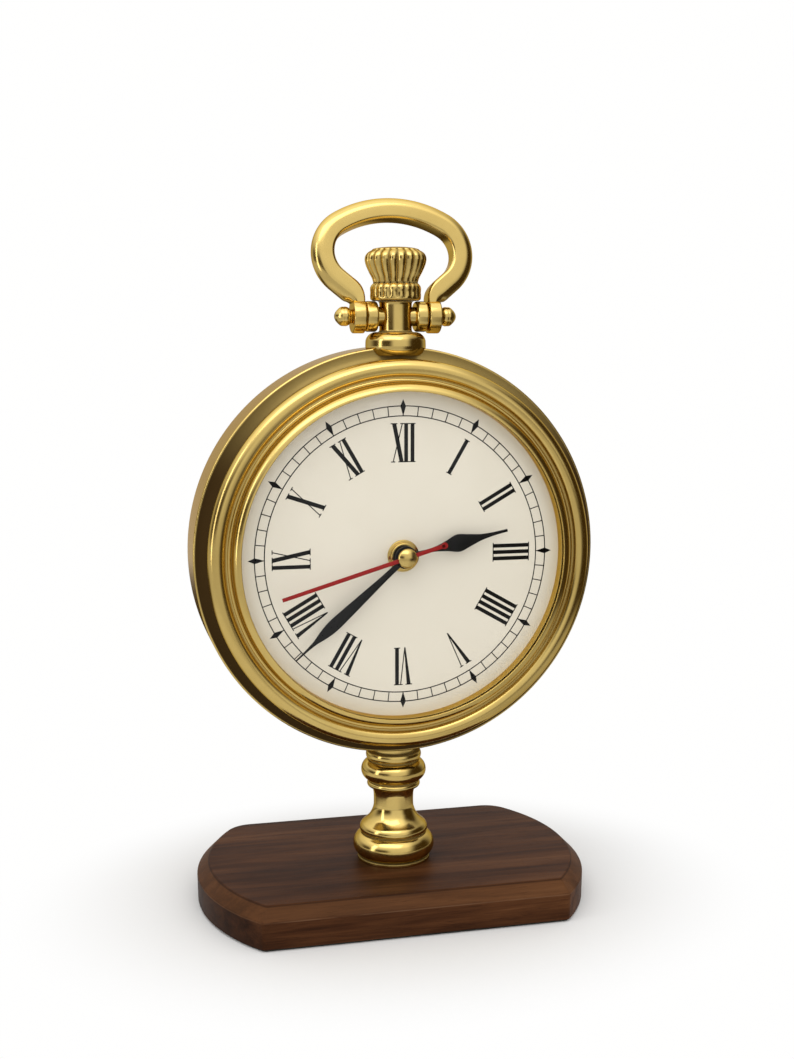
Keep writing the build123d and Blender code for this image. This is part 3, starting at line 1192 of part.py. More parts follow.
def second_hand():
    hand = hand_plate(SECOND_HAND_LENGTH, SECOND_HAND_WIDTH, SECOND_OUTLINE_SHARES, SECOND_HUB_RADIUS,
                      ARBOR_RADIUS + SLIP, SECOND_HAND_Y, 0)
    back = SECOND_HAND_Y + HAND_THICKNESS
    tail = block(-SECOND_HAND_WIDTH / 2, SECOND_HAND_WIDTH / 2, SECOND_HAND_Y, back, -SECOND_HAND_TAIL,
                 -SECOND_HUB_RADIUS / 2)
    tail += facing_rod(SECOND_TAIL_RADIUS, SECOND_HAND_Y, back, (0, -SECOND_HAND_TAIL))
    return on_case(Rot(0, SECOND_HAND_ANGLE, 0) * (hand + tail))


def hand_cap():
    """Domed brass cap in front of the second hand."""
    skirt = SECOND_HAND_Y - CAP_SKIRT
    front = SECOND_HAND_Y - CAP_HEIGHT
    half_share = arc_share(CAP_HEIGHT - CAP_SKIRT, CAP_RADIUS)
    face = outline((0, SECOND_HAND_Y), (0, front), ((CAP_RADIUS, skirt), half_share),
                   (CAP_RADIUS, SECOND_HAND_Y))
    return on_case(turned_facing(face))


def placed_hardware():
    """Washers and nuts of the tie rod at their places."""
    base_washer_z = RECESS_Z - WASHER_THICKNESS
    return {
        "base_washer": Pos(0, 0, base_washer_z) * rod_washer(),
        "base_nut": Pos(0, 0, base_washer_z - NUT_THICKNESS) * rod_nut(),
        "case_washer": Pos(0, 0, CASE_WASHER_Z) * rod_washer(),
        "case_nut": Pos(0, 0, CASE_NUT_Z) * rod_nut(),
    }


ON_BASE = [wooden_base, base_felt]
ON_PILLAR = [tie_rod, pedestal_foot, pedestal_stem, pedestal_collar]
ON_PENDANT = [pendant_collar, pendant_neck, pendant_nut, crown, crown_stem, stem_clip, bow, bow_screws]
ON_CASE = [case_drum, dial_seat, cover_seat, bezel, glass_ring, glass, dial, dial_plate, rear_cover,
           rear_cover_screws, movement_front, movement_back, rubber_washer, movement_nut, train_bridge,
           rotor, intermediate_wheel, seconds_wheel, third_wheel, centre_wheel, minute_wheel, hour_wheel,
           set_knob, stator, coil_bobbin, coil_winding, circuit_board, quartz_crystal,
           battery, battery_contact_plus, battery_contact_minus,
           hour_hand, minute_hand, second_hand, hand_cap]

pieces = {make.__name__: make() for make in ON_BASE + ON_CASE}
pieces.update({make.__name__: on_pillar(make()) for make in ON_PILLAR})
pieces.update({make.__name__: on_pendant(make()) for make in ON_PENDANT})
pieces.update({name: on_pillar(piece) for name, piece in placed_hardware().items()})

os.makedirs("parts", exist_ok=True)
for name, piece in pieces.items():
    export_step(piece, f"parts/{name}.step")
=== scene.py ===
import json
import math

import bmesh
import bpy
import numpy as np
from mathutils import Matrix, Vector


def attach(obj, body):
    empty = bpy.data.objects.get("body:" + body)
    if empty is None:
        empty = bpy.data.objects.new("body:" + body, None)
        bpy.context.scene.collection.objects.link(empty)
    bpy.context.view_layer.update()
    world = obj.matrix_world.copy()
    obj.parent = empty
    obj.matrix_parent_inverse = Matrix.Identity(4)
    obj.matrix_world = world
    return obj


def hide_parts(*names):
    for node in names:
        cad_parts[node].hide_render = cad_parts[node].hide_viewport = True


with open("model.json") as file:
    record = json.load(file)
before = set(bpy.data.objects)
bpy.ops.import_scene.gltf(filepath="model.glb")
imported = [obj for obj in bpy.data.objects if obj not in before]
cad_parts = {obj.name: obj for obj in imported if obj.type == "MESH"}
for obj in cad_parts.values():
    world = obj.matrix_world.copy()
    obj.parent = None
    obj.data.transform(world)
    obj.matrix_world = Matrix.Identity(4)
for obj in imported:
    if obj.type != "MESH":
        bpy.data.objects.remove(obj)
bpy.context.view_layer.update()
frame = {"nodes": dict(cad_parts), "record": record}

# Places in millimetres, as in the solids: axes of pillar and pendant, the case's centre, the bow's pivot
MM = 0.001
PILLAR = (0, -6.5, 0)
PENDANT = (0, -10.5, 0)
CASE = (0, -6.5, 154.9)
PIVOT = (0, -10.5, 254.0)
DRUM_RADIUS = 86.75  # the drum's band with 0.05 to spare, for the pieces that sit on it
BOARD_Z, CHAMFER_Z, BOARD_TOP_Z = 1.0, 12.3, 17.7  # underside of the board, foot of its chamfer, its top
FIXED = "case_and_base"
SEAM = 2e-7  # metres; points closer than this are one


# Outlines and surfaces

def run_points(start, end, bulge, count):
    """Points of a straight run, or of an arc that rises by bulge chords to the right of the way:
    half angle = 2 atan(2 bulge), along = sine over sine, rise = difference of cosines over sine."""
    start, end = np.asarray(start, float), np.asarray(end, float)
    chord = end - start
    share = np.linspace(0, 1, count)[:, None]
    if not bulge:
        return start + share * chord
    half = 2 * math.atan(2 * bulge)
    turn = half * (2 * share - 1)
    along = 0.5 + 0.5 * np.sin(turn) / math.sin(half)
    rise = 0.5 * (np.cos(turn) - math.cos(half)) / math.sin(half)
    return start + along * chord + rise * np.array([chord[1], -chord[0]])


def outline(corners, closed=True, arc=17, soft=4):
    """Outline through corners (u, v, rounding, bulge of the run that arrives). Each run is shortened by the
    rounding at its ends, and a quadratic curve with the corner as its control point joins it to the next."""
    corners = [tuple(corner) + (0,) * (4 - len(corner)) for corner in corners]
    count = len(corners)
    runs = []
    for k in range(count if closed else count - 1):
        start, end = corners[k], corners[(k + 1) % count]
        dense = run_points(start[:2], end[:2], end[3], 65 if end[3] else 2)
        length = np.r_[0, np.cumsum(np.linalg.norm(np.diff(dense, axis=0), axis=1))]
        spare = 0.45 * length[-1]
        at = np.linspace(min(start[2], spare), length[-1] - min(end[2], spare), arc if end[3] else 2)
        runs.append(np.c_[np.interp(at, length, dense[:, 0]), np.interp(at, length, dense[:, 1])])
    t = np.linspace(0, 1, soft + 2)[1:-1, None]
    parts = []
    for k, run in enumerate(runs):
        parts.append(run)
        if closed or k < len(runs) - 1:
            corner = np.array(corners[(k + 1) % count][:2])
            after = runs[(k + 1) % len(runs)][0]
            parts.append((1 - t) ** 2 * run[-1] + 2 * t * (1 - t) * corner + t ** 2 * after)
    return np.concatenate(parts)


def smooth_curve(knots, at):
    """Smooth curve through (place, value) knots: cubic pieces, whose slope at a knot is the mean of those
    beside it."""
    x, y = np.array(knots, float).T
    slope = np.gradient(y, x)
    k = np.clip(np.searchsorted(x, at) - 1, 0, len(x) - 2)
    step = x[k + 1] - x[k]
    t = np.clip((at - x[k]) / step, 0, 1)
    return ((1 + 2 * t) * (1 - t) ** 2 * y[k] + t * (1 - t) ** 2 * step * slope[k]
            + t ** 2 * (3 - 2 * t) * y[k + 1] + t ** 2 * (t - 1) * step * slope[k + 1])


def turned(section, axis, at, turns=192):
    """Section of (radius, along) carried round an axis: radius times cosine and sine of the angle across it,
    along kept."""
    angle = np.linspace(0, 2 * np.pi, turns, endpoint=False)
    u, v = section[:, :1] * np.cos(angle), section[:, :1] * np.sin(angle)
    w = np.broadcast_to(section[:, 1:], u.shape)
    return np.stack({"X": (w, u, v), "Y": (u, w, v), "Z": (u, v, w)}[axis], -1) + np.array(at, float)


def skin(grid, rows_close=False, columns_close=True):
    """Points and quads of a grid of points; a closed direction joins its last line to its first."""
    rows, columns = grid.shape[:2]
    i, j = np.meshgrid(np.arange(rows if rows_close else rows - 1),
                       np.arange(columns if columns_close else columns - 1), indexing="ij")
    after_i, after_j = (i + 1) % rows, (j + 1) % columns
    quads = np.stack([i * columns + j, i * columns + after_j,
                      after_i * columns + after_j, after_i * columns + j], -1)
    return grid.reshape(-1, 3), quads.reshape(-1, 4)


def lathe(corners, axis, at, closed=True, turns=192):
    """Turned body of an outline of (radius, along); an open outline starts and ends on the axis."""
    return skin(turned(outline(corners, closed), axis, at, turns), rows_close=closed)


def with_poles(grid):
    """Grid of rings closed by the middle point of its first and of its last ring."""
    ends = [np.broadcast_to(ring.mean(0), ring.shape)[None] for ring in (grid[0], grid[-1])]
    return np.concatenate([ends[0], grid, ends[1]])


def piece(name, shells, finish, node=None, body=FIXED, sharp=38):
    """Piece from its shells, in place, with merged seams and outward faces, smooth up to a sharp angle."""
    offsets = np.cumsum([0] + [len(points) for points, _ in shells[:-1]])
    points = np.concatenate([points for points, _ in shells]) * MM
    quads = np.concatenate([faces + offset for (_, faces), offset in zip(shells, offsets)])
    mesh = bpy.data.meshes.new(name)
    mesh.from_pydata(points.tolist(), [], quads.tolist())
    work = bmesh.new()
    work.from_mesh(mesh)
    bmesh.ops.remove_doubles(work, verts=work.verts, dist=SEAM)
    bmesh.ops.recalc_face_normals(work, faces=work.faces)
    work.to_mesh(mesh)
    work.free()
    mesh.shade_smooth()
    mesh.set_sharp_from_angle(angle=math.radians(sharp))
    mesh.materials.append(finish)
    obj = bpy.data.objects.new(name, mesh)
    bpy.context.scene.collection.objects.link(obj)
    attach(obj, body)
    if node:
        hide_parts(node)


# Shader values and finishes

class Signal:
    """A shader value. Python operators on it add Math nodes."""

    def __init__(self, finish, socket):
        self.finish = finish
        self.socket = socket

    def __add__(self, other):
        return self.finish.math("ADD", self, other)

    def __sub__(self, other):
        return self.finish.math("SUBTRACT", self, other)

    def __rsub__(self, other):
        return self.finish.math("SUBTRACT", other, self)

    def __mul__(self, other):
        return self.finish.math("MULTIPLY", self, other)

    def __truediv__(self, other):
        return self.finish.math("DIVIDE", self, other)

    def __pow__(self, other):
        return self.finish.math("POWER", self, other)

    __radd__ = __add__
    __rmul__ = __mul__


class Finish:
    """Node tree of one finish, or of the world."""

    def __init__(self, name, tree=None):
        self.material = None if tree else bpy.data.materials.new(name)
        if not tree:
            self.material.use_nodes = True
            tree = self.material.node_tree
        self.tree = tree
        self.tree.nodes.clear()

    def add(self, kind, settings=None, sockets=None):
        """Node of a kind: its settings, or a ramp's stops, then the values or links of its sockets."""
        node = self.tree.nodes.new("ShaderNode" + kind)
        for key, value in (settings or {}).items():
            if key == "stops":
                ramp = node.color_ramp.elements
                for _ in range(len(value) - len(ramp)):
                    ramp.new(1.0)
                for stop, (place, colour) in zip(ramp, value):
                    stop.position = place
                    stop.color = (*colour, 1)
            else:
                setattr(node, key, value)
        for key, value in (sockets or {}).items():
            if isinstance(value, Signal):
                self.tree.links.new(value.socket, node.inputs[key])
            else:
                node.inputs[key].default_value = value
        return node

    def get(self, kind, settings=None, sockets=None, output=0):
        """One output of a new node."""
        return Signal(self, self.add(kind, settings, sockets).outputs[output])

    def math(self, operation, first, second=0.0, clamp=False):
        """Result of a Math node."""
        return self.get("Math", {"operation": operation, "use_clamp": clamp}, {0: first, 1: second})

    def clamp(self, value):
        """Value kept between 0 and 1."""
        return self.math("ADD", value, 0.0, True)

    def step(self, value, low, high):
        """Soft step of a value from 0 at low to 1 at high."""
        return self.get("MapRange", {"interpolation_type": "SMOOTHSTEP"}, {0: value, 1: low, 2: high})

    def ridge(self, value, middle, half):
        """1 at a middle value, falling to 0 at half on either side."""
        return 1 - self.step(self.math("ABSOLUTE", value - middle), 0.0, half)

    def blend(self, share, first, second):
        """Colour between two colours."""
        sockets = {0: share, 6: first, 7: second}
        sockets = {key: (*value, 1) if isinstance(value, tuple) else value for key, value in sockets.items()}
        return self.get("Mix", {"data_type": "RGBA"}, sockets, 2)

    def place(self, centre=(0, 0, 0), scale=(1, 1, 1)):
        """Object coordinates in millimetres from a centre, each axis times its scale."""
        coordinates = self.get("TexCoord", output=3)
        moved = self.get("VectorMath", {"operation": "SUBTRACT"},
                         {0: coordinates, 1: tuple(value * MM for value in centre)})
        return self.get("VectorMath", {"operation": "MULTIPLY"},
                        {0: moved, 1: tuple(value / MM for value in scale)})

    def parts(self, vector):
        """The three values of a vector."""
        node = self.add("SeparateXYZ", sockets={0: vector})
        return [Signal(self, output) for output in node.outputs]

    def join(self, x, y, z=0.0):
        """Vector of three values."""
        return self.get("CombineXYZ", sockets={0: x, 1: y, 2: z})

    def noise(self, vector, scale, detail=3.0, roughness=0.5, distortion=0.0):
        """Noise about 0.5 at a vector."""
        return self.get("TexNoise", None, {"Vector": vector, "Scale": scale, "Detail": detail,
                                           "Roughness": roughness, "Distortion": distortion})

    def bump(self, height, distance, strength=1.0):
        """Normal tilted by a height of up to a distance in millimetres."""
        return self.get("Bump", None, {"Height": height, "Distance": distance * MM, "Strength": strength})

    def surface(self, **sockets):
        """Principled surface with the given sockets, as the material's output."""
        names = {key.replace("_", " ").title().replace("Ior", "IOR"): value for key, value in sockets.items()}
        names = {key: (*value, 1) if key.endswith("Color") and isinstance(value, tuple) else value
                 for key, value in names.items()}
        return self.show(self.get("BsdfPrincipled", None, names))

    def show(self, shader):
        """Finished material that shows a shader."""
        self.add("OutputMaterial", None, {0: shader})
        return self.material


CROWN_RIBS = 20
BRASS_BRIGHT, BRASS_AGED = (0.715, 0.530, 0.182), (0.56, 0.388, 0.112)
BRASS_EDGE = (0.80, 0.61, 0.32, 1)
# dull dark brown, painted as shade into the recesses of the brass
RECESS_SHADE_BROWN = (0.050, 0.028, 0.009)


def brass(name, axis, centre, rough, recesses=None):
    """Polished brass, a little aged: slow clouds of tarnish, faint turning lines round an axis, and painted
    shade:
    a dull dark brown, not metallic, where a rule of finish, radius and places across and along the axis finds
    a recess."""
    f = Finish(name)
    place = f.place(centre)
    x, y, z = f.parts(place)
    across = {"X": (y, z, x), "Y": (x, z, y), "Z": (x, y, z)}[axis]
    radius = (across[0] * across[0] + across[1] * across[1]) ** 0.5
    cloud = f.noise(place, 0.03, 4.0, 0.6)
    fine_cloud = f.noise(place, 0.35, 3.0, 0.6)
    lines = f.noise(f.join(radius, across[2], cloud * 0.8), 0.9, 3.0, 0.6)
    tarnish = f.clamp(cloud * 1.1 + fine_cloud * 0.3 - 0.35)
    gold = f.blend(tarnish, BRASS_BRIGHT, BRASS_AGED)
    colour, metallic = gold, 1.0
    roughness = rough + (lines - 0.5) * 0.05 + (fine_cloud - 0.5) * 0.03
    if recesses:
        # painted shade: each recess's share of dull dark brown, rougher and less metallic
        recess_shade = f.clamp(recesses(f, radius, across))
        colour = f.blend(recess_shade, gold, RECESS_SHADE_BROWN)
        roughness = roughness + recess_shade * 0.35
        metallic = 1 - recess_shade
    return f.surface(base_color=colour, metallic=metallic, roughness=roughness, specular_ior_level=0.0,
                     specular_tint=BRASS_EDGE, normal=f.bump(lines, 0.003, 0.3))


def case_recesses(f, radius, across):
    """Painted shade and a painted dark reflection: the cove between bezel and band, paler towards its top,
    and faintly the two grooves of the bezel.
    """
    along = across[2]
    cove = f.step(along, -17.2, -16.6) * (1 - f.step(along, -9.5, -9.2)) * (1 - f.step(radius, 85.7, 86.3))
    cove = cove * f.step(radius, 78.8, 79.4) * (1 - f.step(across[1], 30.0, 86.0) * 0.45)
    grooves = f.ridge(radius, 74.5, 0.9) + f.ridge(radius, 72.0, 0.7)
    return cove + grooves * f.ridge(along, -19.6, 1.2) * 0.4


def pillar_recesses(f, radius, across):
    """Painted shade at the seams of foot, stem and collar, at their heights."""
    return sum(f.ridge(across[2], place, 0.7) for place in (19.3, 29.9, 53.0, 62.6, 66.6)) * 0.8


def pendant_recesses(f, radius, across):
    """Painted shade at the seams of bulb and neck, at their heights, and in the valleys between the crown's
    ribs, where the cosine of half their number times the angle is small."""
    seams = sum(f.ridge(across[2], place, 0.7) for place in (247.7, 260.3, 267.8))
    angle = f.math("ARCTAN2", across[1], across[0])
    crest = f.math("ABSOLUTE", f.math("COSINE", angle * (CROWN_RIBS / 2)))
    crown = f.step(across[2], 261.2, 262.0) * f.step(radius, 7.0, 8.5)
    return seams * 0.8 + crown * (1 - f.step(crest, 0.0, 0.55)) * 0.6


def walnut():
    """Oiled walnut: long streaks along X and darker pore lines; painted light on the chamfer, which turns up,
    with a worn line below it and a dark one above it; and painted shade on the side towards the left end."""
    f = Finish("walnut_oiled")
    place = f.place()
    x, y, z = f.parts(place)
    bend = f.noise(f.place(scale=(0.008, 0.02, 0.02)), 1.0, 2.0)
    streaks = f.noise(f.join(x * 0.012, y * 0.16 + bend * 1.6, z * 0.16), 1.0, 5.0, 0.62, 0.4)
    fine = f.noise(f.join(x * 0.03, y * 1.1 + bend * 2.0, z * 1.1), 1.0, 4.0, 0.7)
    pores = f.step(f.noise(f.join(x * 0.10, y * 2.6, z * 2.6), 1.0, 2.0, 0.6), 0.60, 0.72)
    broad = f.noise(f.join(x * 0.007, y * 0.05, z * 0.05), 1.0, 2.0)
    tone = f.get("ValToRGB", {"stops": [(0.34, (0.013, 0.0045, 0.0018)), (0.45, (0.040, 0.0135, 0.0048)),
                                        (0.56, (0.080, 0.0295, 0.0105)), (0.68, (0.130, 0.054, 0.021))]},
                 {0: streaks * 0.45 + broad * 0.35 + fine * 0.20})
    colour = f.blend(pores * 0.55, tone, (0.012, 0.0045, 0.0025))
    worn = f.ridge(z, CHAMFER_Z, 0.35) * f.step(f.noise(place, 0.05, 3.0), 0.30, 0.60)
    colour = f.blend(worn * 0.4, colour, (0.20, 0.110, 0.060))
    # painted light: the chamfer, facing up and forward, painted lighter than the front
    chamfer = f.step(z, CHAMFER_Z, 13.0) * (1 - f.step(z, 17.0, 17.6))
    colour = f.blend(chamfer * 0.22, colour, (0.17, 0.078, 0.032))
    # painted shade: the side towards the left end darker below the chamfer; also a dark line just below the
    # chamfer's top edge
    dark = f.ridge(z, 17.3, 0.4) * 0.6 + f.step(0 - x, 52.0, 84.0) * (1 - f.step(z, 12.0, 12.4)) * 0.45
    colour = f.blend(dark, colour, (0.012, 0.0055, 0.003))
    roughness = f.clamp(0.46 + (fine - 0.5) * 0.2 + pores * 0.15)
    return f.surface(base_color=colour, roughness=roughness, specular_ior_level=0.05,
                     normal=f.bump(fine * 0.5 - pores, 0.05, 0.6))


def felt():
    """Dark green felt: matted fibres."""
    f = Finish("felt_dark")
    fibres = f.noise(f.place(), 3.0, 5.0, 0.75)
    return f.surface(base_color=f.blend(fibres, (0.008, 0.010, 0.008), (0.035, 0.042, 0.034)), roughness=0.95,
                     normal=f.bump(fibres, 0.25, 0.8))


def cream_dial():
    """Cream dial sheet with faint clouds, a fine paper grain, and painted shade: a darker, warmer edge under
    the bezel.
    """
    f = Finish("dial_cream_sheet")
    place = f.place(CASE)
    x, _, z = f.parts(place)
    radius = (x * x + z * z) ** 0.5
    clouds = f.noise(place, 0.05, 4.0, 0.6)
    grain = f.noise(place, 4.0, 2.0, 0.6)
    colour = f.blend(clouds, (0.80, 0.745, 0.635), (0.75, 0.69, 0.575))
    # painted shade: the dial darker and warmer towards its edge, where the bezel's wall shades it
    colour = f.blend(f.step(radius, 60.0, 72.0) * 0.25, colour, (0.70, 0.63, 0.50))
    return f.surface(base_color=colour, roughness=0.55 + (grain - 0.5) * 0.1, normal=f.bump(grain, 0.01, 0.3))


def lacquer(name, dark, light, rough):
    """Satin lacquer with a slight cloud in tone and gloss."""
    f = Finish(name)
    place = f.place()
    cloud = f.noise(place, 0.5, 3.0)
    grain = f.noise(place, 5.0, 2.0)
    return f.surface(base_color=f.blend(cloud, dark, light), roughness=rough + (cloud - 0.5) * 0.16,
                     specular_ior_level=0.15, normal=f.bump(grain, 0.006, 0.4))


def ink():
    """Black printing ink, a little uneven."""
    f = Finish("dial_ink")
    spread = f.noise(f.place(), 1.6, 3.0, 0.7)
    return f.surface(base_color=f.blend(spread, (0.002, 0.002, 0.002), (0.007, 0.0065, 0.006)),
                     roughness=0.5 + (spread - 0.5) * 0.2, specular_ior_level=0.1)


def clear_glass():
    """Clear glass, faintly dusty: transparent, with a mirror share from Fresnel on its outward faces."""
    f = Finish("watch_glass")
    dust = f.step(f.noise(f.place(), 0.35, 5.0, 0.7), 0.55, 0.80)
    inside = Signal(f, f.add("NewGeometry").outputs["Backfacing"])
    share = f.get("Fresnel", None, {"IOR": 1.28}) * (1 - inside)
    clear = f.get("BsdfTransparent", None, {"Color": (0.99, 0.992, 0.99, 1)})
    gloss = f.get("BsdfGlossy", None, {"Color": (1, 1, 1, 1), "Roughness": 0.02 + dust * 0.05})
    return f.show(f.get("MixShader", None, {0: share, 1: clear, 2: gloss}))


def metal(name, dark, light, rough, stretch):
    """Plain metal with drawn streaks."""
    f = Finish(name)
    streaks = f.noise(f.place(scale=stretch), 1.0, 4.0, 0.6)
    return f.surface(base_color=f.blend(streaks, dark, light), metallic=1.0,
                     roughness=rough + (streaks - 0.5) * 0.2, normal=f.bump(streaks, 0.02, 0.4))


def moulding(name, dark, light, rough, grain=2.5):
    """Moulded plastic or rubber: eroded mould grain and slow tone changes."""
    f = Finish(name)
    place = f.place()
    slow = f.noise(place, 0.08, 3.0)
    pits = f.noise(place, grain, 3.0, 0.6)
    return f.surface(base_color=f.blend(slow * 0.6 + pits * 0.4, dark, light),
                     roughness=rough + (pits - 0.5) * 0.2, normal=f.bump(pits, 0.04, 0.5))


def wound_wire():
    """Enamelled copper wire laid in close turns round an upright coil, with painted shade between the turns
    and painted highlight on them.
    """
    f = Finish("copper_turns")
    place = f.place()
    turns = f.math("SINE", f.parts(place)[2] * 28.0)
    cloud = f.noise(place, 0.6, 3.0)
    # painted shade and highlight: colour darker between the turns and lighter on their crests
    colour = f.blend(turns * 0.5 + 0.5, (0.28, 0.09, 0.03), (0.72, 0.30, 0.12))
    return f.surface(base_color=colour, metallic=1.0, roughness=0.3 + cloud * 0.15,
                     normal=f.bump(turns, 0.05, 0.8))


BRASS_CASE = brass("brass_turned_case", "Y", CASE, 0.18, case_recesses)
BRASS_PILLAR = brass("brass_turned_pillar", "Z", PILLAR, 0.16, pillar_recesses)
BRASS_PENDANT = brass("brass_turned_pendant", "Z", PENDANT, 0.16, pendant_recesses)
BRASS_CROSS = brass("brass_turned_cross", "X", PIVOT, 0.17)
BRASS_BOW = brass("brass_polished_bow", "Y", PIVOT, 0.18)
WALNUT = walnut()
FELT = felt()
CREAM = cream_dial()
INK = ink()
GLASS = clear_glass()
BLACK = lacquer("hand_black_satin", (0.003, 0.003, 0.003), (0.008, 0.008, 0.008), 0.45)
RED = lacquer("hand_red_satin", (0.23, 0.004, 0.004), (0.33, 0.010, 0.008), 0.48)
STEEL = metal("steel_zinc", (0.42, 0.42, 0.43), (0.66, 0.66, 0.67), 0.34, (2.0, 2.0, 0.2))
ALLOY = metal("alloy_sheet", (0.52, 0.52, 0.53), (0.74, 0.74, 0.75), 0.38, (0.2, 2.0, 2.0))
CELL = metal("cell_jacket", (0.45, 0.45, 0.47), (0.70, 0.70, 0.72), 0.32, (0.1, 1.5, 1.5))
HOUSING = moulding("black_moulding", (0.010, 0.010, 0.011), (0.028, 0.028, 0.030), 0.46)
WHEELS = moulding("white_moulding", (0.62, 0.62, 0.57), (0.80, 0.80, 0.76), 0.36)
RUBBER = moulding("rubber_black", (0.008, 0.008, 0.008), (0.020, 0.020, 0.020), 0.8, 1.2)
BOARD = moulding("board_green", (0.012, 0.060, 0.020), (0.025, 0.110, 0.040), 0.4, 1.0)
COPPER = wound_wire()
SLOT_FINISH = {"walnut": WALNUT, "felt": FELT, "brass": BRASS_CASE, "steel": STEEL, "glass": GLASS,
               "dial_cream": CREAM, "plate_alloy": ALLOY, "hand_black": BLACK, "hand_red": RED,
               "housing": HOUSING, "wheels": WHEELS, "rubber": RUBBER, "copper": COPPER, "board": BOARD,
               "cell": CELL}
for subpart in frame["record"]["subparts"]:
    solid = frame["nodes"][subpart["node"]]
    solid.data.materials.clear()
    solid.data.materials.append(SLOT_FINISH[subpart["material_slot"]])


# Base and pillar

BASE_HALF_DEPTH, BASE_BOW, BASE_CORNER_X = 54.2, 20.5, 65.2
FRONT_ROUND, BACK_ROUND = 1.2, 12
MIDDLE_INSET = 40  # how far in the flat underside and top are carried as rings


def base_ring(inset, z):
    """Level ring of the base: straight front and back, ends on an arc whose radius is half depth squared plus
    bow squared over twice the bow, sharp front and round back corners."""
    end_radius = (BASE_HALF_DEPTH ** 2 + BASE_BOW ** 2) / (2 * BASE_BOW)
    middle = BASE_CORNER_X + BASE_BOW - end_radius
    depth, radius = BASE_HALF_DEPTH - inset, end_radius - inset
    x = middle + math.sqrt(radius ** 2 - depth ** 2)
    rise = (middle + radius - x) / (2 * depth)
    back_round = max(BACK_ROUND - inset, 1.5)
    ring = outline([(-x, -depth, FRONT_ROUND, rise), (x, -depth, FRONT_ROUND),
                    (x, depth, back_round, rise), (-x, depth, back_round)], arc=41, soft=10)
    return np.c_[ring, np.full(len(ring), z)]


def stacked_rings(corners):
    """Base rings at the levels (inset, z) of an open outline, closed below and above."""
    levels = outline(corners, closed=False)
    return skin(with_poles(np.stack([base_ring(inset, z) for inset, z in levels])))


piece("base_board", [stacked_rings([
    (MIDDLE_INSET, BOARD_Z), (0.2, BOARD_Z, 0.5), (0, CHAMFER_Z, 0.45), (5.4, BOARD_TOP_Z, 0.5),
    (MIDDLE_INSET, BOARD_TOP_Z)])], WALNUT, "wooden_base", sharp=30)
piece("base_felt_pad", [stacked_rings([
    (MIDDLE_INSET, 0), (1.5, 0, 0.2), (1.5, BOARD_Z, 0.1), (MIDDLE_INSET, BOARD_Z)])],
    FELT, "base_felt")


def upright(name, node, corners, limit=None, at=PILLAR, finish=BRASS_PILLAR):
    """Turned upright piece of an open outline; a limit gives the points' z where the drum cuts them off."""
    grid = turned(outline(corners, closed=False), "Z", at)
    if limit:
        grid[..., 2] = limit(grid)
    piece(name, [skin(grid)], finish, node)


def drum_height(grid):
    """Half height of the drum at each point: root of its radius there squared less x squared. The radius is
    the band's, and before the band it falls along the cove's arc to the neck."""
    cove = run_points((-10.0, 85.95), (-14.0, 79.65), -0.22, 33)[::-1]
    radius = np.interp(grid[..., 1] - CASE[1], np.r_[cove[:, 0], -9.2], np.r_[cove[:, 1], DRUM_RADIUS])
    return np.sqrt(radius ** 2 - grid[..., 0] ** 2)


upright("pillar_foot", "pedestal_foot", [
    (0, BOARD_TOP_Z), (15.9, BOARD_TOP_Z, 0.3), (15.9, 19.3, 0.5), (14.7, 19.3, 0.15),
    (14.7, 29.5, 0.3, 0.304), (0, 29.5)])
upright("pillar_stem", "pedestal_stem", [
    (0, 29.5), (13.7, 29.5, 0.1), (13.7, 30.3, 0.1), (14.4, 30.3, 0.15), (14.9, 30.8, 0.3), (14.9, 31.9, 0.4),
    (12.6, 34.7, 2.0, 0.12), (8.6, 44.5, 3.0, -0.12), (9.8, 50.4, 0.2, -0.06), (11.1, 50.4, 0.2),
    (11.1, 52.6, 0.2, 0.23), (0, 52.6)])
upright("pillar_collar", "pedestal_collar", [
    (0, 52.6), (10.7, 52.6, 0.1), (10.7, 53.4, 0.1), (11.3, 53.4, 0.2), (11.3, 62.2, 0.2, 0.33),
    (10.7, 62.2, 0.1), (10.7, 63.0, 0.1), (11.6, 63.0, 0.25), (11.6, 66.4, 0.4, 0.15), (9.4, 66.4, 0.5),
    (9.4, 76.0), (0, 76.0)],
    lambda grid: np.minimum(grid[..., 2], CASE[2] - drum_height(grid)))


# Case, glass and dial

DIAL_Y = -17.45  # face of the dial, from the case's centre


def case_ring(name, node, corners, finish=BRASS_CASE, closed=True, turns=256):
    """Piece turned round the case's axis, from an outline of (radius, y from the case's centre)."""
    piece(name, [lathe(corners, "Y", CASE, closed, turns)], finish, node)


case_ring("drum_band", "case_drum", [
    (84.2, 15, 0.2), (85.9, 15, 0.1), (86.7, 14.2, 0.1, -0.2), (86.7, -9.2, 0.1), (85.9, -10, 0.1, -0.2),
    (79.6, -14, 0.2, 0.22), (79.6, -18, 0.1), (77.2, -18, 0.1), (77.2, -12, 0.3), (84.2, -7.5, 0.3)])
case_ring("bezel_ring", "bezel", [
    (79.7, -14.5, 0.1), (79.7, -18, 0.05), (70.2, -18, 0.05), (70.2, -24.25, 0.05), (68.6, -24.25, 0.05),
    (68.6, -25.15, 0.3), (71.9, -19.8, 0.12, 0.25), (72.3, -19.8, 0.12), (73.9, -19.8, 0.15, 0.3),
    (74.6, -19.8, 0.15), (81.7, -17.0, 0.3, 0.42), (81.7, -14.5, 0.3)])
case_ring("glass_wall", "glass_ring", [
    (68.6, -22.45, 0.1), (70.1, -22.45, 0.1), (70.1, DIAL_Y, 0.1), (68.6, DIAL_Y, 0.1)])
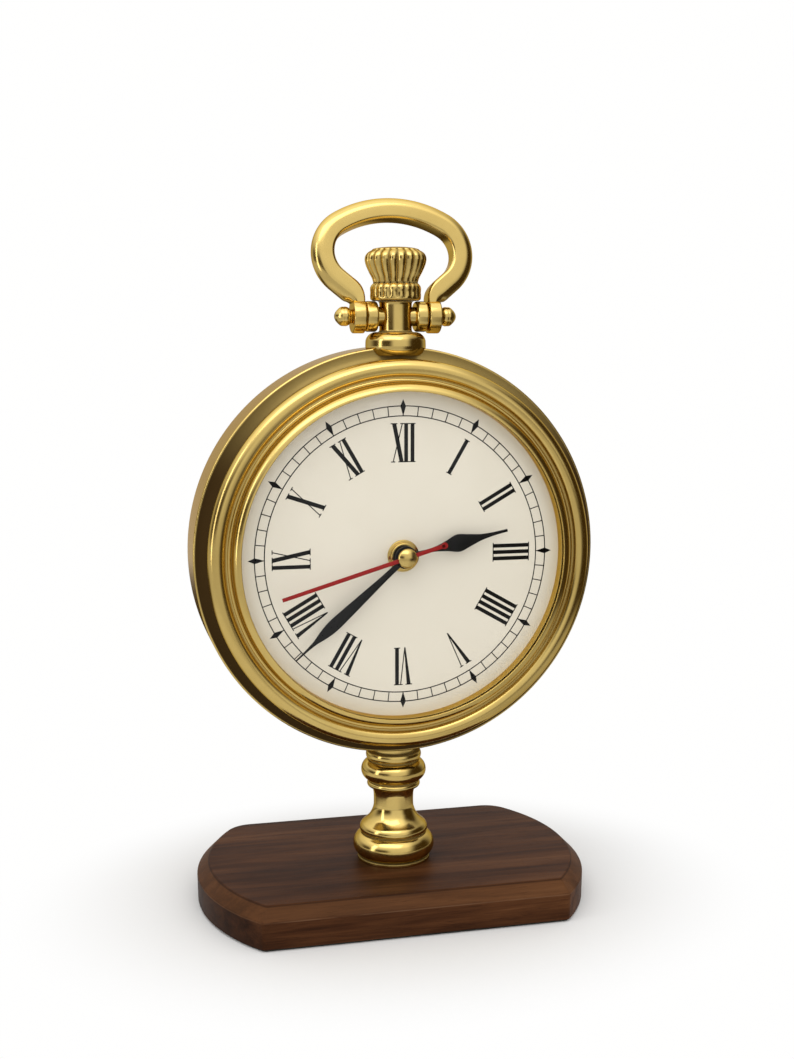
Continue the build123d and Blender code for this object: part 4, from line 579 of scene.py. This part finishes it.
case_ring("glass_dome", "glass", [
    (0, -37.25), (66.8, -24.25, 0.6, 0.0482), (70.1, -24.25, 0.1), (70.1, -22.45, 0.1), (66.8, -22.45, 0.6),
    (0, -35.45, 0, -0.0482)], GLASS, False)
case_ring("dial_sheet", "dial", [(4.1, DIAL_Y), (77.1, DIAL_Y), (77.1, -16.95), (4.1, -16.95)],
          CREAM)
case_ring("dial_nut", "movement_nut", [
    (4.05, DIAL_Y), (4.05, -20.25, 0.15), (5.7, -20.25, 0.5), (5.7, -18.45, 0.2), (6.75, -18.45, 0.5),
    (6.75, DIAL_Y, 0.1)], turns=96)
case_ring("back_cover", "rear_cover", [
    (43, 12.4, 0.2), (84.1, 12.4, 0.1), (84.1, 14.4, 0.3), (45, 14.4, 0.4), (43, 13.6, 0.3, 0.09)])


SLOT_HALF, SLOT_DEPTH = 0.4, 0.7


def slotted_dome(radius, height, lines=33):
    """Low dome with a slot: height times (1 - r squared), no higher than height less the slot's depth between
    the slot's two walls. Lines run along the slot, each as long as the circle is wide there."""
    edge = SLOT_HALF / radius
    outer = np.linspace(-1, -edge, lines)
    across = np.r_[outer, -edge + 1e-4, edge - 1e-4, -outer[::-1]]
    along = np.linspace(-1, 1, 2 * lines - 1)
    v = np.repeat(across[:, None], len(along), 1)
    u = along * np.sqrt(np.maximum(1 - v ** 2, 0))
    rise = height * (1 - u ** 2 - v ** 2)
    floor = np.minimum(rise, height - SLOT_DEPTH)
    return u * radius, v * radius, np.where(np.abs(v) < edge, floor, rise)


def cover_screws():
    """Four domed screw heads on a circle round the rear cover, each turned 37 degrees on from the last."""
    circle = 80.95
    u, v, rise = slotted_dome(2.8, 1.6)
    shells = []
    for count in range(4):
        place, turn = math.radians(45 + 90 * count), math.radians(37 * count)
        x = circle * math.cos(place) + u * math.cos(turn) + v * math.sin(turn)
        z = circle * math.sin(place) - u * math.sin(turn) + v * math.cos(turn)
        dome = np.stack([x, 14.38 + rise, z], -1)
        under = np.stack([x, np.full_like(x, 13.9), z], -1)
        rim = np.concatenate([dome, under[:, ::-1]], 1) + np.array(CASE)
        shells.append(skin(rim))
    return shells


piece("back_screws", cover_screws(), BRASS_CASE, "rear_cover_screws", sharp=30)


# Dial print

def dial_point(u, v, hour):
    """Dial place (x, z) of u and v at an hour: v outwards along the hour's ray, u clockwise across it."""
    angle = np.radians(30.0 * hour)
    return u * np.cos(angle) + v * np.sin(angle), v * np.cos(angle) - u * np.sin(angle)


# Feet and height of the numerals, their bars' width and pitch, the serifs' height, and the minute track
FOOT, HEIGHT = 39.2, 16.2
BAR, PITCH, SERIF = 1.62, 2.72, 0.40
TRACK_INNER, TRACK_OUTER, TRACK_HALF = 58.4, 62.5, 0.22
INK_FRONT, INK_BACK = DIAL_Y - 0.04, DIAL_Y + 0.01


def stroke(foot, foot_width, head, head_width):
    """Four corners of a stroke from foot to head."""
    return [(foot, 0.0), (foot + foot_width, 0.0), (head + head_width, HEIGHT), (head, HEIGHT)]


def serif(left, right, at_head):
    """Four corners of a flat serif."""
    low = HEIGHT - SERIF if at_head else 0.0
    return [(left, low), (right, low), (right, low + SERIF), (left, low + SERIF)]


def numeral_strokes(word):
    """Strokes of a numeral, left to right and centred: bars with joined serifs, thick and thin slants."""
    strokes = []
    pen = 0.0
    while word:
        if word[0] == "I":
            bars = len(word) - len(word.lstrip("I"))
            strokes += [stroke(pen + PITCH * k, BAR, pen + PITCH * k, BAR) for k in range(bars)]
            end = pen + PITCH * (bars - 1) + BAR
            strokes += [serif(pen - 0.5, end + 0.5, at_head) for at_head in (False, True)]
            pen += PITCH * bars
            word = word[bars:]
        elif word[0] == "V":
            strokes += [stroke(pen + 2.35, 0.55, pen, 1.75), stroke(pen + 2.45, 0.40, pen + 4.25, 0.42)]
            strokes += [serif(pen - 0.55, pen + 2.3, True), serif(pen + 3.55, pen + 5.25, True)]
            pen += 5.2
            word = word[1:]
        else:
            strokes += [stroke(pen + 3.35, 1.75, pen + 0.1, 1.75), stroke(pen + 0.35, 0.42, pen + 4.3, 0.42)]
            strokes += [serif(pen - 0.45, pen + 2.4, True), serif(pen + 3.6, pen + 5.35, True),
                        serif(pen - 0.35, pen + 1.5, False), serif(pen + 2.8, pen + 5.6, False)]
            pen += 5.3
            word = word[1:]
    points = np.array(strokes)
    points[..., 0] -= (points[..., 0].min() + points[..., 0].max()) / 2
    return points


def dial_print():
    """Thin printed slabs: each flat four-sided stroke, turned to its hour, carried from just behind the face
    of the dial to just before it; and the two turned rings of the minute track."""
    words = ["XII", "I", "II", "III", "IIII", "V", "VI", "VII", "VIII", "IX", "X", "XI"]
    kite = np.array([[(0, 58.3), (1.2, 62.4), (0, 65.3), (-1.2, 62.4)]])
    tick = np.array([[(-0.2, 58.3), (0.2, 58.3), (0.2, 62.6), (-0.2, 62.6)]])
    flat = []
    for hour, word in enumerate(words):
        strokes = numeral_strokes(word)
        flat.append(np.stack(dial_point(strokes[..., 0], strokes[..., 1] + FOOT, hour), -1))
        flat.append(np.stack(dial_point(kite[..., 0], kite[..., 1], hour), -1))
    for minute in range(60):
        flat.append(np.stack(dial_point(tick[..., 0], tick[..., 1], minute / 5), -1))
    flat = np.concatenate(flat)
    front = np.stack([flat[..., 0], np.full(flat.shape[:2], INK_FRONT), flat[..., 1]], -1)
    back = front + np.array([0, INK_BACK - INK_FRONT, 0])
    points = np.concatenate([front, back], 1).reshape(-1, 3) + np.array(CASE)
    box = np.array([[0, 1, 2, 3], [7, 6, 5, 4], [0, 4, 5, 1], [1, 5, 6, 2], [2, 6, 7, 3], [3, 7, 4, 0]])
    quads = (np.arange(len(flat))[:, None, None] * 8 + box).reshape(-1, 4)
    circles = []
    for middle in (TRACK_INNER, TRACK_OUTER):
        inner, outer = middle - TRACK_HALF, middle + TRACK_HALF
        circles.append(lathe([(inner, INK_BACK), (inner, INK_FRONT), (outer, INK_FRONT), (outer, INK_BACK)],
                             "Y", CASE, turns=240))
    return [(points, quads)] + circles


piece("dial_print", dial_print(), INK, sharp=20)


# Hands

# Front faces of the hands and the angles at which they stand
HOUR_Y, MINUTE_Y, SECOND_Y = -21.65, -23.45, -25.25
HOUR_ANGLE, MINUTE_ANGLE, SECOND_ANGLE = 77.5, 228.5, 253.5
SECOND_TAIL = 16.7
BLADE_DEPTH, BEVEL_DEPTH, BEVEL_WIDTH = 0.6, 0.14, 0.22


def blade(knots, length, width, front, angle, tail=0.0):
    """Hand blade: a bevelled section, as wide as the knots' smooth curve says there, carried from tail to tip
    along the hand's angle."""
    at = np.linspace(0, 1, 90)
    half = np.maximum(smooth_curve(knots, at), 0.02)[:, None] * width / 2
    edge = np.minimum(half * 0.4, BEVEL_WIDTH)
    across = np.concatenate([-half, -half, edge - half, half - edge, half, half], 1)
    depth = np.broadcast_to([BLADE_DEPTH, BEVEL_DEPTH, 0, 0, BEVEL_DEPTH, BLADE_DEPTH], across.shape)
    along = np.broadcast_to((at * (length + tail) - tail)[:, None], across.shape)
    x, z = dial_point(across, along, angle / 30)
    return skin(with_poles(np.stack([x, front + depth, z], -1) + np.array(CASE)))


def disc(radius, front, at=(0.0, 0.0)):
    """Round hub or tail of a hand: a turned plate with a rounded front edge."""
    place = (CASE[0] + at[0], CASE[1], CASE[2] + at[1])
    back = front + BLADE_DEPTH
    return lathe([(0, front), (radius, front, 0.15), (radius, back, 0.05), (0, back)], "Y", place, False, 64)


HOUR_KNOTS = [(0, 0.36), (0.30, 0.30), (0.40, 0.58), (0.52, 1.0), (0.62, 0.72), (0.74, 0.36), (0.84, 0.22),
              (1.0, 0.15)]
MINUTE_KNOTS = [(0, 0.46), (0.16, 0.50), (0.40, 0.76), (0.56, 0.94), (0.66, 1.0), (0.72, 0.88), (0.77, 0.66),
                (0.82, 0.38), (0.88, 0.22), (0.94, 0.15), (1.0, 0.10)]
SECOND_KNOTS = [(0, 1.0), (0.5, 1.0), (1.0, 0.90)]
piece("hour_blade", [blade(HOUR_KNOTS, 45.5, 7.4, HOUR_Y, HOUR_ANGLE), disc(4.4, HOUR_Y)],
      BLACK, "hour_hand", "hour")
piece("minute_blade", [blade(MINUTE_KNOTS, 62.2, 5.1, MINUTE_Y, MINUTE_ANGLE), disc(4.75, MINUTE_Y)],
      BLACK, "minute_hand", "minute")
piece("second_blade", [
    blade(SECOND_KNOTS, 54.5, 1.7, SECOND_Y, SECOND_ANGLE, SECOND_TAIL), disc(2.6, SECOND_Y),
    disc(1.35, SECOND_Y, dial_point(0.0, -SECOND_TAIL, SECOND_ANGLE / 30))],
    RED, "second_hand", "second")
piece("hand_dome", [lathe([
    (0, -27.85), (4.1, -26.05, 0.4, 0.104), (4.1, SECOND_Y, 0.1), (0, SECOND_Y)], "Y", CASE, False, 96)],
    BRASS_CASE, "hand_cap", "second")


# Pendant, crown and bow

upright("pendant_bulb", "pendant_collar", [
    (0, 237.9), (10.6, 237.9, 0.3), (12.7, 242.75, 1.2, 0.14), (8.2, 247.6, 0.4, 0.22), (0, 247.6)],
    lambda grid: np.maximum(grid[..., 2], CASE[2] + drum_height(grid)), PENDANT, BRASS_PENDANT)


def mirrored(corners):
    """Outline of a body along X, turned to the other side: along and bulge change sign."""
    return [(radius, -along, *rest[:1], *(-bulge for bulge in rest[1:])) for radius, along, *rest in corners]


NECK = [(0, 247.6), (7.7, 247.6, 0.1), (6.8, 248.5, 0.5, -0.207), (6.8, 259.3, 0.5),
        (7.7, 260.2, 0.1, -0.207), (0, 260.2)]
ARM = [(0, 0), (4.0, 0), (4.0, 8.3), (0, 8.3)]
DISC = [(0, 8.2), (5.75, 8.2, 0.2), (6.35, 8.8, 0.4), (6.35, 12.6, 0.4), (5.75, 13.2, 0.2), (0, 13.2)]
shells = [lathe(NECK, "Z", PENDANT, False)]
for corners in (ARM, DISC, mirrored(ARM), mirrored(DISC)):
    shells.append(lathe(corners, "X", PIVOT, False, 96))
piece("pendant_post", shells, BRASS_PENDANT, "pendant_neck")


# Foot of the crown, and its dome: where it starts, its rise, radius and the ribs' depth there
CROWN_Z = 260.5
DOME_Z, DOME_RISE, DOME_RADIUS, DOME_RIBS = 20.8, 1.3, 9.9, 0.8
CROWN_RADII = [(0, 9.7), (0.5, 10.4), (1.2, 10.6), (3.4, 10.6), (5.8, 10.5), (6.5, 10.1), (7.1, 9.5),
               (8.4, 9.6), (12, 11.3), (15, 12.55), (17, 12.9), (18.6, 12.55), (19.8, 11.6),
               (DOME_Z, DOME_RADIUS)]
CROWN_DEPTHS = [(0, 0.0), (0.9, 0.0), (1.5, 0.35), (5.9, 0.45), (7.0, 0.7), (10, 1.15), (17, 1.15),
                (DOME_Z, DOME_RIBS)]


def ribbed_crown():
    """Crown: a smooth curve of radius over height, cut by ribs: radius less depth times (1 - |cos of half the
    ribs times the angle|). The depth grows from a plain foot ring to the head and dies out on its dome, whose
    radius and height are a cosine and a sine."""
    z = np.r_[np.linspace(0, 1.2, 7), np.linspace(1.4, 6.6, 14), np.linspace(6.75, 8.2, 9),
              np.linspace(8.6, DOME_Z, 40)]
    radius, depth = smooth_curve(CROWN_RADII, z), smooth_curve(CROWN_DEPTHS, z)
    share = np.linspace(0, 1, 16)[1:]
    z = np.r_[0.0, z, DOME_Z + DOME_RISE * np.sin(share * np.pi / 2)]
    radius = np.r_[0.0, radius, DOME_RADIUS * np.cos(share * np.pi / 2)]
    depth = np.r_[0.0, depth, DOME_RIBS * (1 - share) ** 1.5]
    angle = np.linspace(0, 2 * np.pi, 320, endpoint=False)
    ribs = 1 - np.abs(np.cos(CROWN_RIBS / 2 * angle))
    r = np.maximum(radius[:, None] - depth[:, None] * ribs, 0)
    grid = np.stack([r * np.cos(angle), r * np.sin(angle), np.broadcast_to(z[:, None], r.shape)], -1)
    return skin(grid + np.array([0, PENDANT[1], CROWN_Z]))


piece("crown_ribbed", [ribbed_crown()], BRASS_PENDANT, "crown", "crown_body", sharp=50)


def turn_path(start, radius, heading, new_heading, count):
    """Arc of a path in (x, z) that turns from one heading to another at a radius: start plus or minus radius
    times the change of sine and cosine of the heading."""
    angle = np.linspace(heading, new_heading, count)
    side = 1 if new_heading > heading else -1
    return np.c_[start[0] + side * radius * (np.sin(angle) - math.sin(heading)),
                 start[1] - side * radius * (np.cos(angle) - math.cos(heading))]


# Middle line of the bow: where it rises, its widest half width, radii and headings; its section and lean
BOW_X, BOW_RISE, BOW_HALF = 16.1, 4.6, 30.0
WAIST_RADIUS, SHOULDER_RADIUS = 7.0, 15.0
BOW_FLARE, BOW_CREST, BOW_LEAN = math.radians(40), math.radians(150), math.radians(12)
BOW_SECTION = [(-4.65, -3.7, 0.3), (-3.75, -4.6, 0.5), (1.0, -4.6, 0.9), (4.65, -1, 0.9, 0.14),
               (4.65, 1, 0.9), (1.0, 4.6, 0.9, 0.14), (-3.75, 4.6, 0.5), (-4.65, 3.7, 0.3)]
EAR_WIDTH = 0.56  # share of the section's width that is left at the ears


def bow_band():
    """Omega bow: its section carried along rise, waist arc, straight arm, shoulder arc and top arc, mirrored;
    the section narrows towards the ears, and the whole leans back about the pivot."""
    rise = np.c_[np.full(8, BOW_X), np.linspace(0, BOW_RISE, 8)]
    waist = turn_path(rise[-1], WAIST_RADIUS, math.pi / 2, BOW_FLARE, 14)
    way = np.array([math.cos(BOW_FLARE), math.sin(BOW_FLARE)])
    reach = (BOW_HALF - SHOULDER_RADIUS * (1 - way[1]) - waist[-1, 0]) / way[0]
    arm = waist[-1] + np.linspace(0, reach, 8)[:, None] * way
    shoulder = turn_path(arm[-1], SHOULDER_RADIUS, BOW_FLARE, BOW_CREST, 44)
    top = turn_path(shoulder[-1], shoulder[-1, 0] / math.sin(BOW_CREST), BOW_CREST, math.pi, 34)
    half = np.concatenate([rise, waist[1:], arm[1:], shoulder[1:], top[1:]])
    path = np.concatenate([half, half[-2::-1] * np.array([-1, 1])])
    length = np.r_[0, np.cumsum(np.linalg.norm(np.diff(path, axis=0), axis=1))]
    run = np.gradient(path, length, axis=0)
    out = np.stack([run[:, 1], -run[:, 0]], -1) / np.linalg.norm(run, axis=1)[:, None]
    from_ear = np.minimum(length, length[-1] - length)
    grow = np.clip((from_ear - 4.0) / 8.0, 0, 1)
    width = EAR_WIDTH + (1 - EAR_WIDTH) * grow ** 2 * (3 - 2 * grow)
    section = outline(BOW_SECTION, arc=9)
    across = section[:, 0] * width[:, None]
    x = path[:, :1] + out[:, :1] * across
    z = path[:, 1:] + out[:, 1:] * across
    y = np.broadcast_to(section[:, 1], x.shape)
    back, up = math.sin(BOW_LEAN), math.cos(BOW_LEAN)
    grid = np.stack([x, y * up + z * back, z * up - y * back], -1)
    return skin(with_poles(grid + np.array(PIVOT)))


EAR = [(0, 13.5), (6.6, 13.5, 0.2), (7.0, 13.9, 0.3), (7.0, 18.3, 0.3), (6.6, 18.7, 0.2), (0, 18.7)]
ears = [lathe(corners, "X", PIVOT, False, 128) for corners in (EAR, mirrored(EAR))]
piece("bow_omega", [bow_band()] + ears, BRASS_BOW, "bow", "bow_body", sharp=30)


def ball_screws():
    """Ball-headed screw on each side: a turned neck and ball, its end a dome with a slot."""
    shank = [(0, 18.9), (2.9, 18.9, 0.1), (2.9, 19.5, 0.2), (3.95, 22.18, 0.2, 0.16), (3.6, 23.81, 0.1, 0.1),
             (0, 23.81)]
    u, v, rise = slotted_dome(3.6, 2.33)
    shells = []
    for side in (-1, 1):
        shells.append(lathe(shank if side > 0 else mirrored(shank), "X", PIVOT, False, 96))
        dome = np.stack([side * (23.76 + rise), v, u], -1)
        under = np.stack([np.full_like(u, side * 23.5), v, u], -1)
        shells.append(skin(np.concatenate([dome, under[:, ::-1]], 1) + np.array(PIVOT)))
    return shells


piece("bow_ball_screws", ball_screws(), BRASS_CROSS, "bow_screws", sharp=30)


# Floor, light and camera

def plane(name, size, finish):
    """Flat square floor, a level grid of a few quads."""
    side = np.linspace(-size, size, 9)
    x, y = np.meshgrid(side, side)
    points, quads = skin(np.stack([x, y, np.zeros_like(x)], -1), columns_close=False)
    mesh = bpy.data.meshes.new(name)
    mesh.from_pydata(points.tolist(), [], quads.tolist())
    mesh.materials.append(finish)
    obj = bpy.data.objects.new(name, mesh)
    bpy.context.scene.collection.objects.link(obj)


WHITE = (1.0, 0.998, 0.994)
ROOM = (0.060, 0.039, 0.013)  # dim side of the room, in reflections


def pale_floor():
    """Pale matt floor that keeps the shadow near the clock. Further out the camera sees the white background.
    Reflections see a softer white there, and the dim room to the right and close behind the clock."""
    f = Finish("floor_pale")
    x, y, _ = f.parts(f.place())
    radius = (x * x + y * y) ** 0.5
    path = f.add("LightPath")
    glossy = Signal(f, path.outputs["Is Glossy Ray"])
    seen = f.clamp(Signal(f, path.outputs["Is Camera Ray"]) + Signal(f, path.outputs["Is Transmission Ray"]))
    mottle = f.noise(f.place(), 0.01, 3.0)
    matt = f.get("BsdfDiffuse", None, {"Color": f.blend(mottle, (0.90, 0.895, 0.885), (0.88, 0.875, 0.865))})
    white = f.get("Emission", None, {"Color": (*WHITE, 1), "Strength": 1.0})
    room = f.get("Emission", None, {"Color": (*ROOM, 1), "Strength": 1.0})
    right, behind = f.step(x / radius, 0.10, 0.60), f.step(y / radius, 0.10, 0.70)
    bright = (1 - right * (1 - behind)) * (1 - behind * (1 - f.step(radius, 600.0, 1000.0)))
    backdrop = f.get("MixShader", None, {0: glossy * (1 - bright * 0.62), 1: white, 2: room})
    beside = (x * x * 0.62 + y * y) ** 0.5
    gloss_share = f.step(radius, 60.0, 140.0) * 0.4 + f.step(radius, 260.0, 480.0) * 0.6
    share = f.clamp(seen * f.step(beside, 62.0, 135.0) + glossy * gloss_share)
    f.material.cycles.emission_sampling = "NONE"
    return f.show(f.get("MixShader", None, {0: share, 1: matt, 2: backdrop}))


def studio_world():
    """World: white to the camera. Reflections see a bright front, a softer back, dim sides, and above them
    white that grows towards the top, less on the right. Diffuse light is plain, weaker from behind and from
    the left."""
    world = bpy.data.worlds.new("studio")
    bpy.context.scene.world = world
    world.use_nodes = True
    f = Finish("studio", world.node_tree)
    path = f.add("LightPath")
    seen = f.clamp(Signal(f, path.outputs["Is Camera Ray"]) + Signal(f, path.outputs["Is Transmission Ray"]))
    glossy = Signal(f, path.outputs["Is Glossy Ray"])
    x, y, z = f.parts(f.get("TexCoord", output=0))
    level = (x * x + y * y) ** 0.5
    right, behind = f.step(x / level, 0.45, 0.90), f.step(y / level, 0.10, 0.70)
    front = (1 - f.step(f.math("ABSOLUTE", x / level - 0.08), 0.36, 0.72)) * (1 - f.step(y, -0.35, 0.0))
    room = f.blend(f.clamp(front + behind * 0.65), ROOM, (0.88, 0.875, 0.86))
    room = f.blend(f.step(z, 0.18, 0.50) * (1 - right), room, (1.00, 0.99, 0.97))
    top = f.step(z, 0.50, 0.70) * (1 - f.step(x, 0.30, 0.75) * 0.7) * (1 - f.step(y, 0.0, 0.5) * 0.6)
    room = f.blend(top, room, (1.55, 1.54, 1.52))
    plain = f.blend(f.step(y, -0.9, 0.3), (1.21, 1.20, 1.18), (0.66, 0.66, 0.66))
    plain = f.blend(f.step(0 - x, 0.20, 0.90) * 0.5, plain, (0.45, 0.45, 0.45))
    light = f.blend(seen, f.blend(glossy, plain, room), WHITE)
    world.cycles.sampling_method = "NONE"
    f.add("OutputWorld", None, {0: f.get("Background", None, {"Color": light, "Strength": 1.0})})


def softbox(name, place, target, width, height, watts):
    """White rectangular lamp, turned to a target."""
    data = bpy.data.lights.new(name, "AREA")
    data.shape = "RECTANGLE"
    data.size, data.size_y, data.energy = width, height, watts
    obj = bpy.data.objects.new(name, data)
    bpy.context.scene.collection.objects.link(obj)
    obj.location = place
    obj.rotation_euler = (Vector(target) - Vector(place)).to_track_quat("-Z", "Y").to_euler()


plane("floor", 6.0, pale_floor())
studio_world()
softbox("softbox_top", (-0.30, -0.62, 1.15), (0, 0, 0.17), 1.25, 0.60, 3.6)
softbox("softbox_left", (-1.05, -0.32, 0.42), (0, 0, 0.12), 0.22, 0.9, 1.6)

# Camera at the photo's angle: its place in metres, the way it looks, focal length and height in pixels
CAMERA_PLACE, CAMERA_WAY = (-0.13883, -0.58583, 0.24564), (0.2334, 0.9628, -0.1364)
FOCAL_PIXELS, TALL_PIXELS, SENSOR = 1400, 1059, 36
lens = bpy.data.cameras.new("photo_camera")
lens.lens = FOCAL_PIXELS / TALL_PIXELS * SENSOR
lens.sensor_width = SENSOR
camera = bpy.data.objects.new("photo_camera", lens)
bpy.context.scene.collection.objects.link(camera)
camera.location = CAMERA_PLACE
camera.rotation_euler = Vector(CAMERA_WAY).to_track_quat("-Z", "Y").to_euler()
lens.clip_start, lens.clip_end = 0.01, 50
bpy.context.scene.camera = camera
bpy.context.scene.view_settings.view_transform = "Standard"
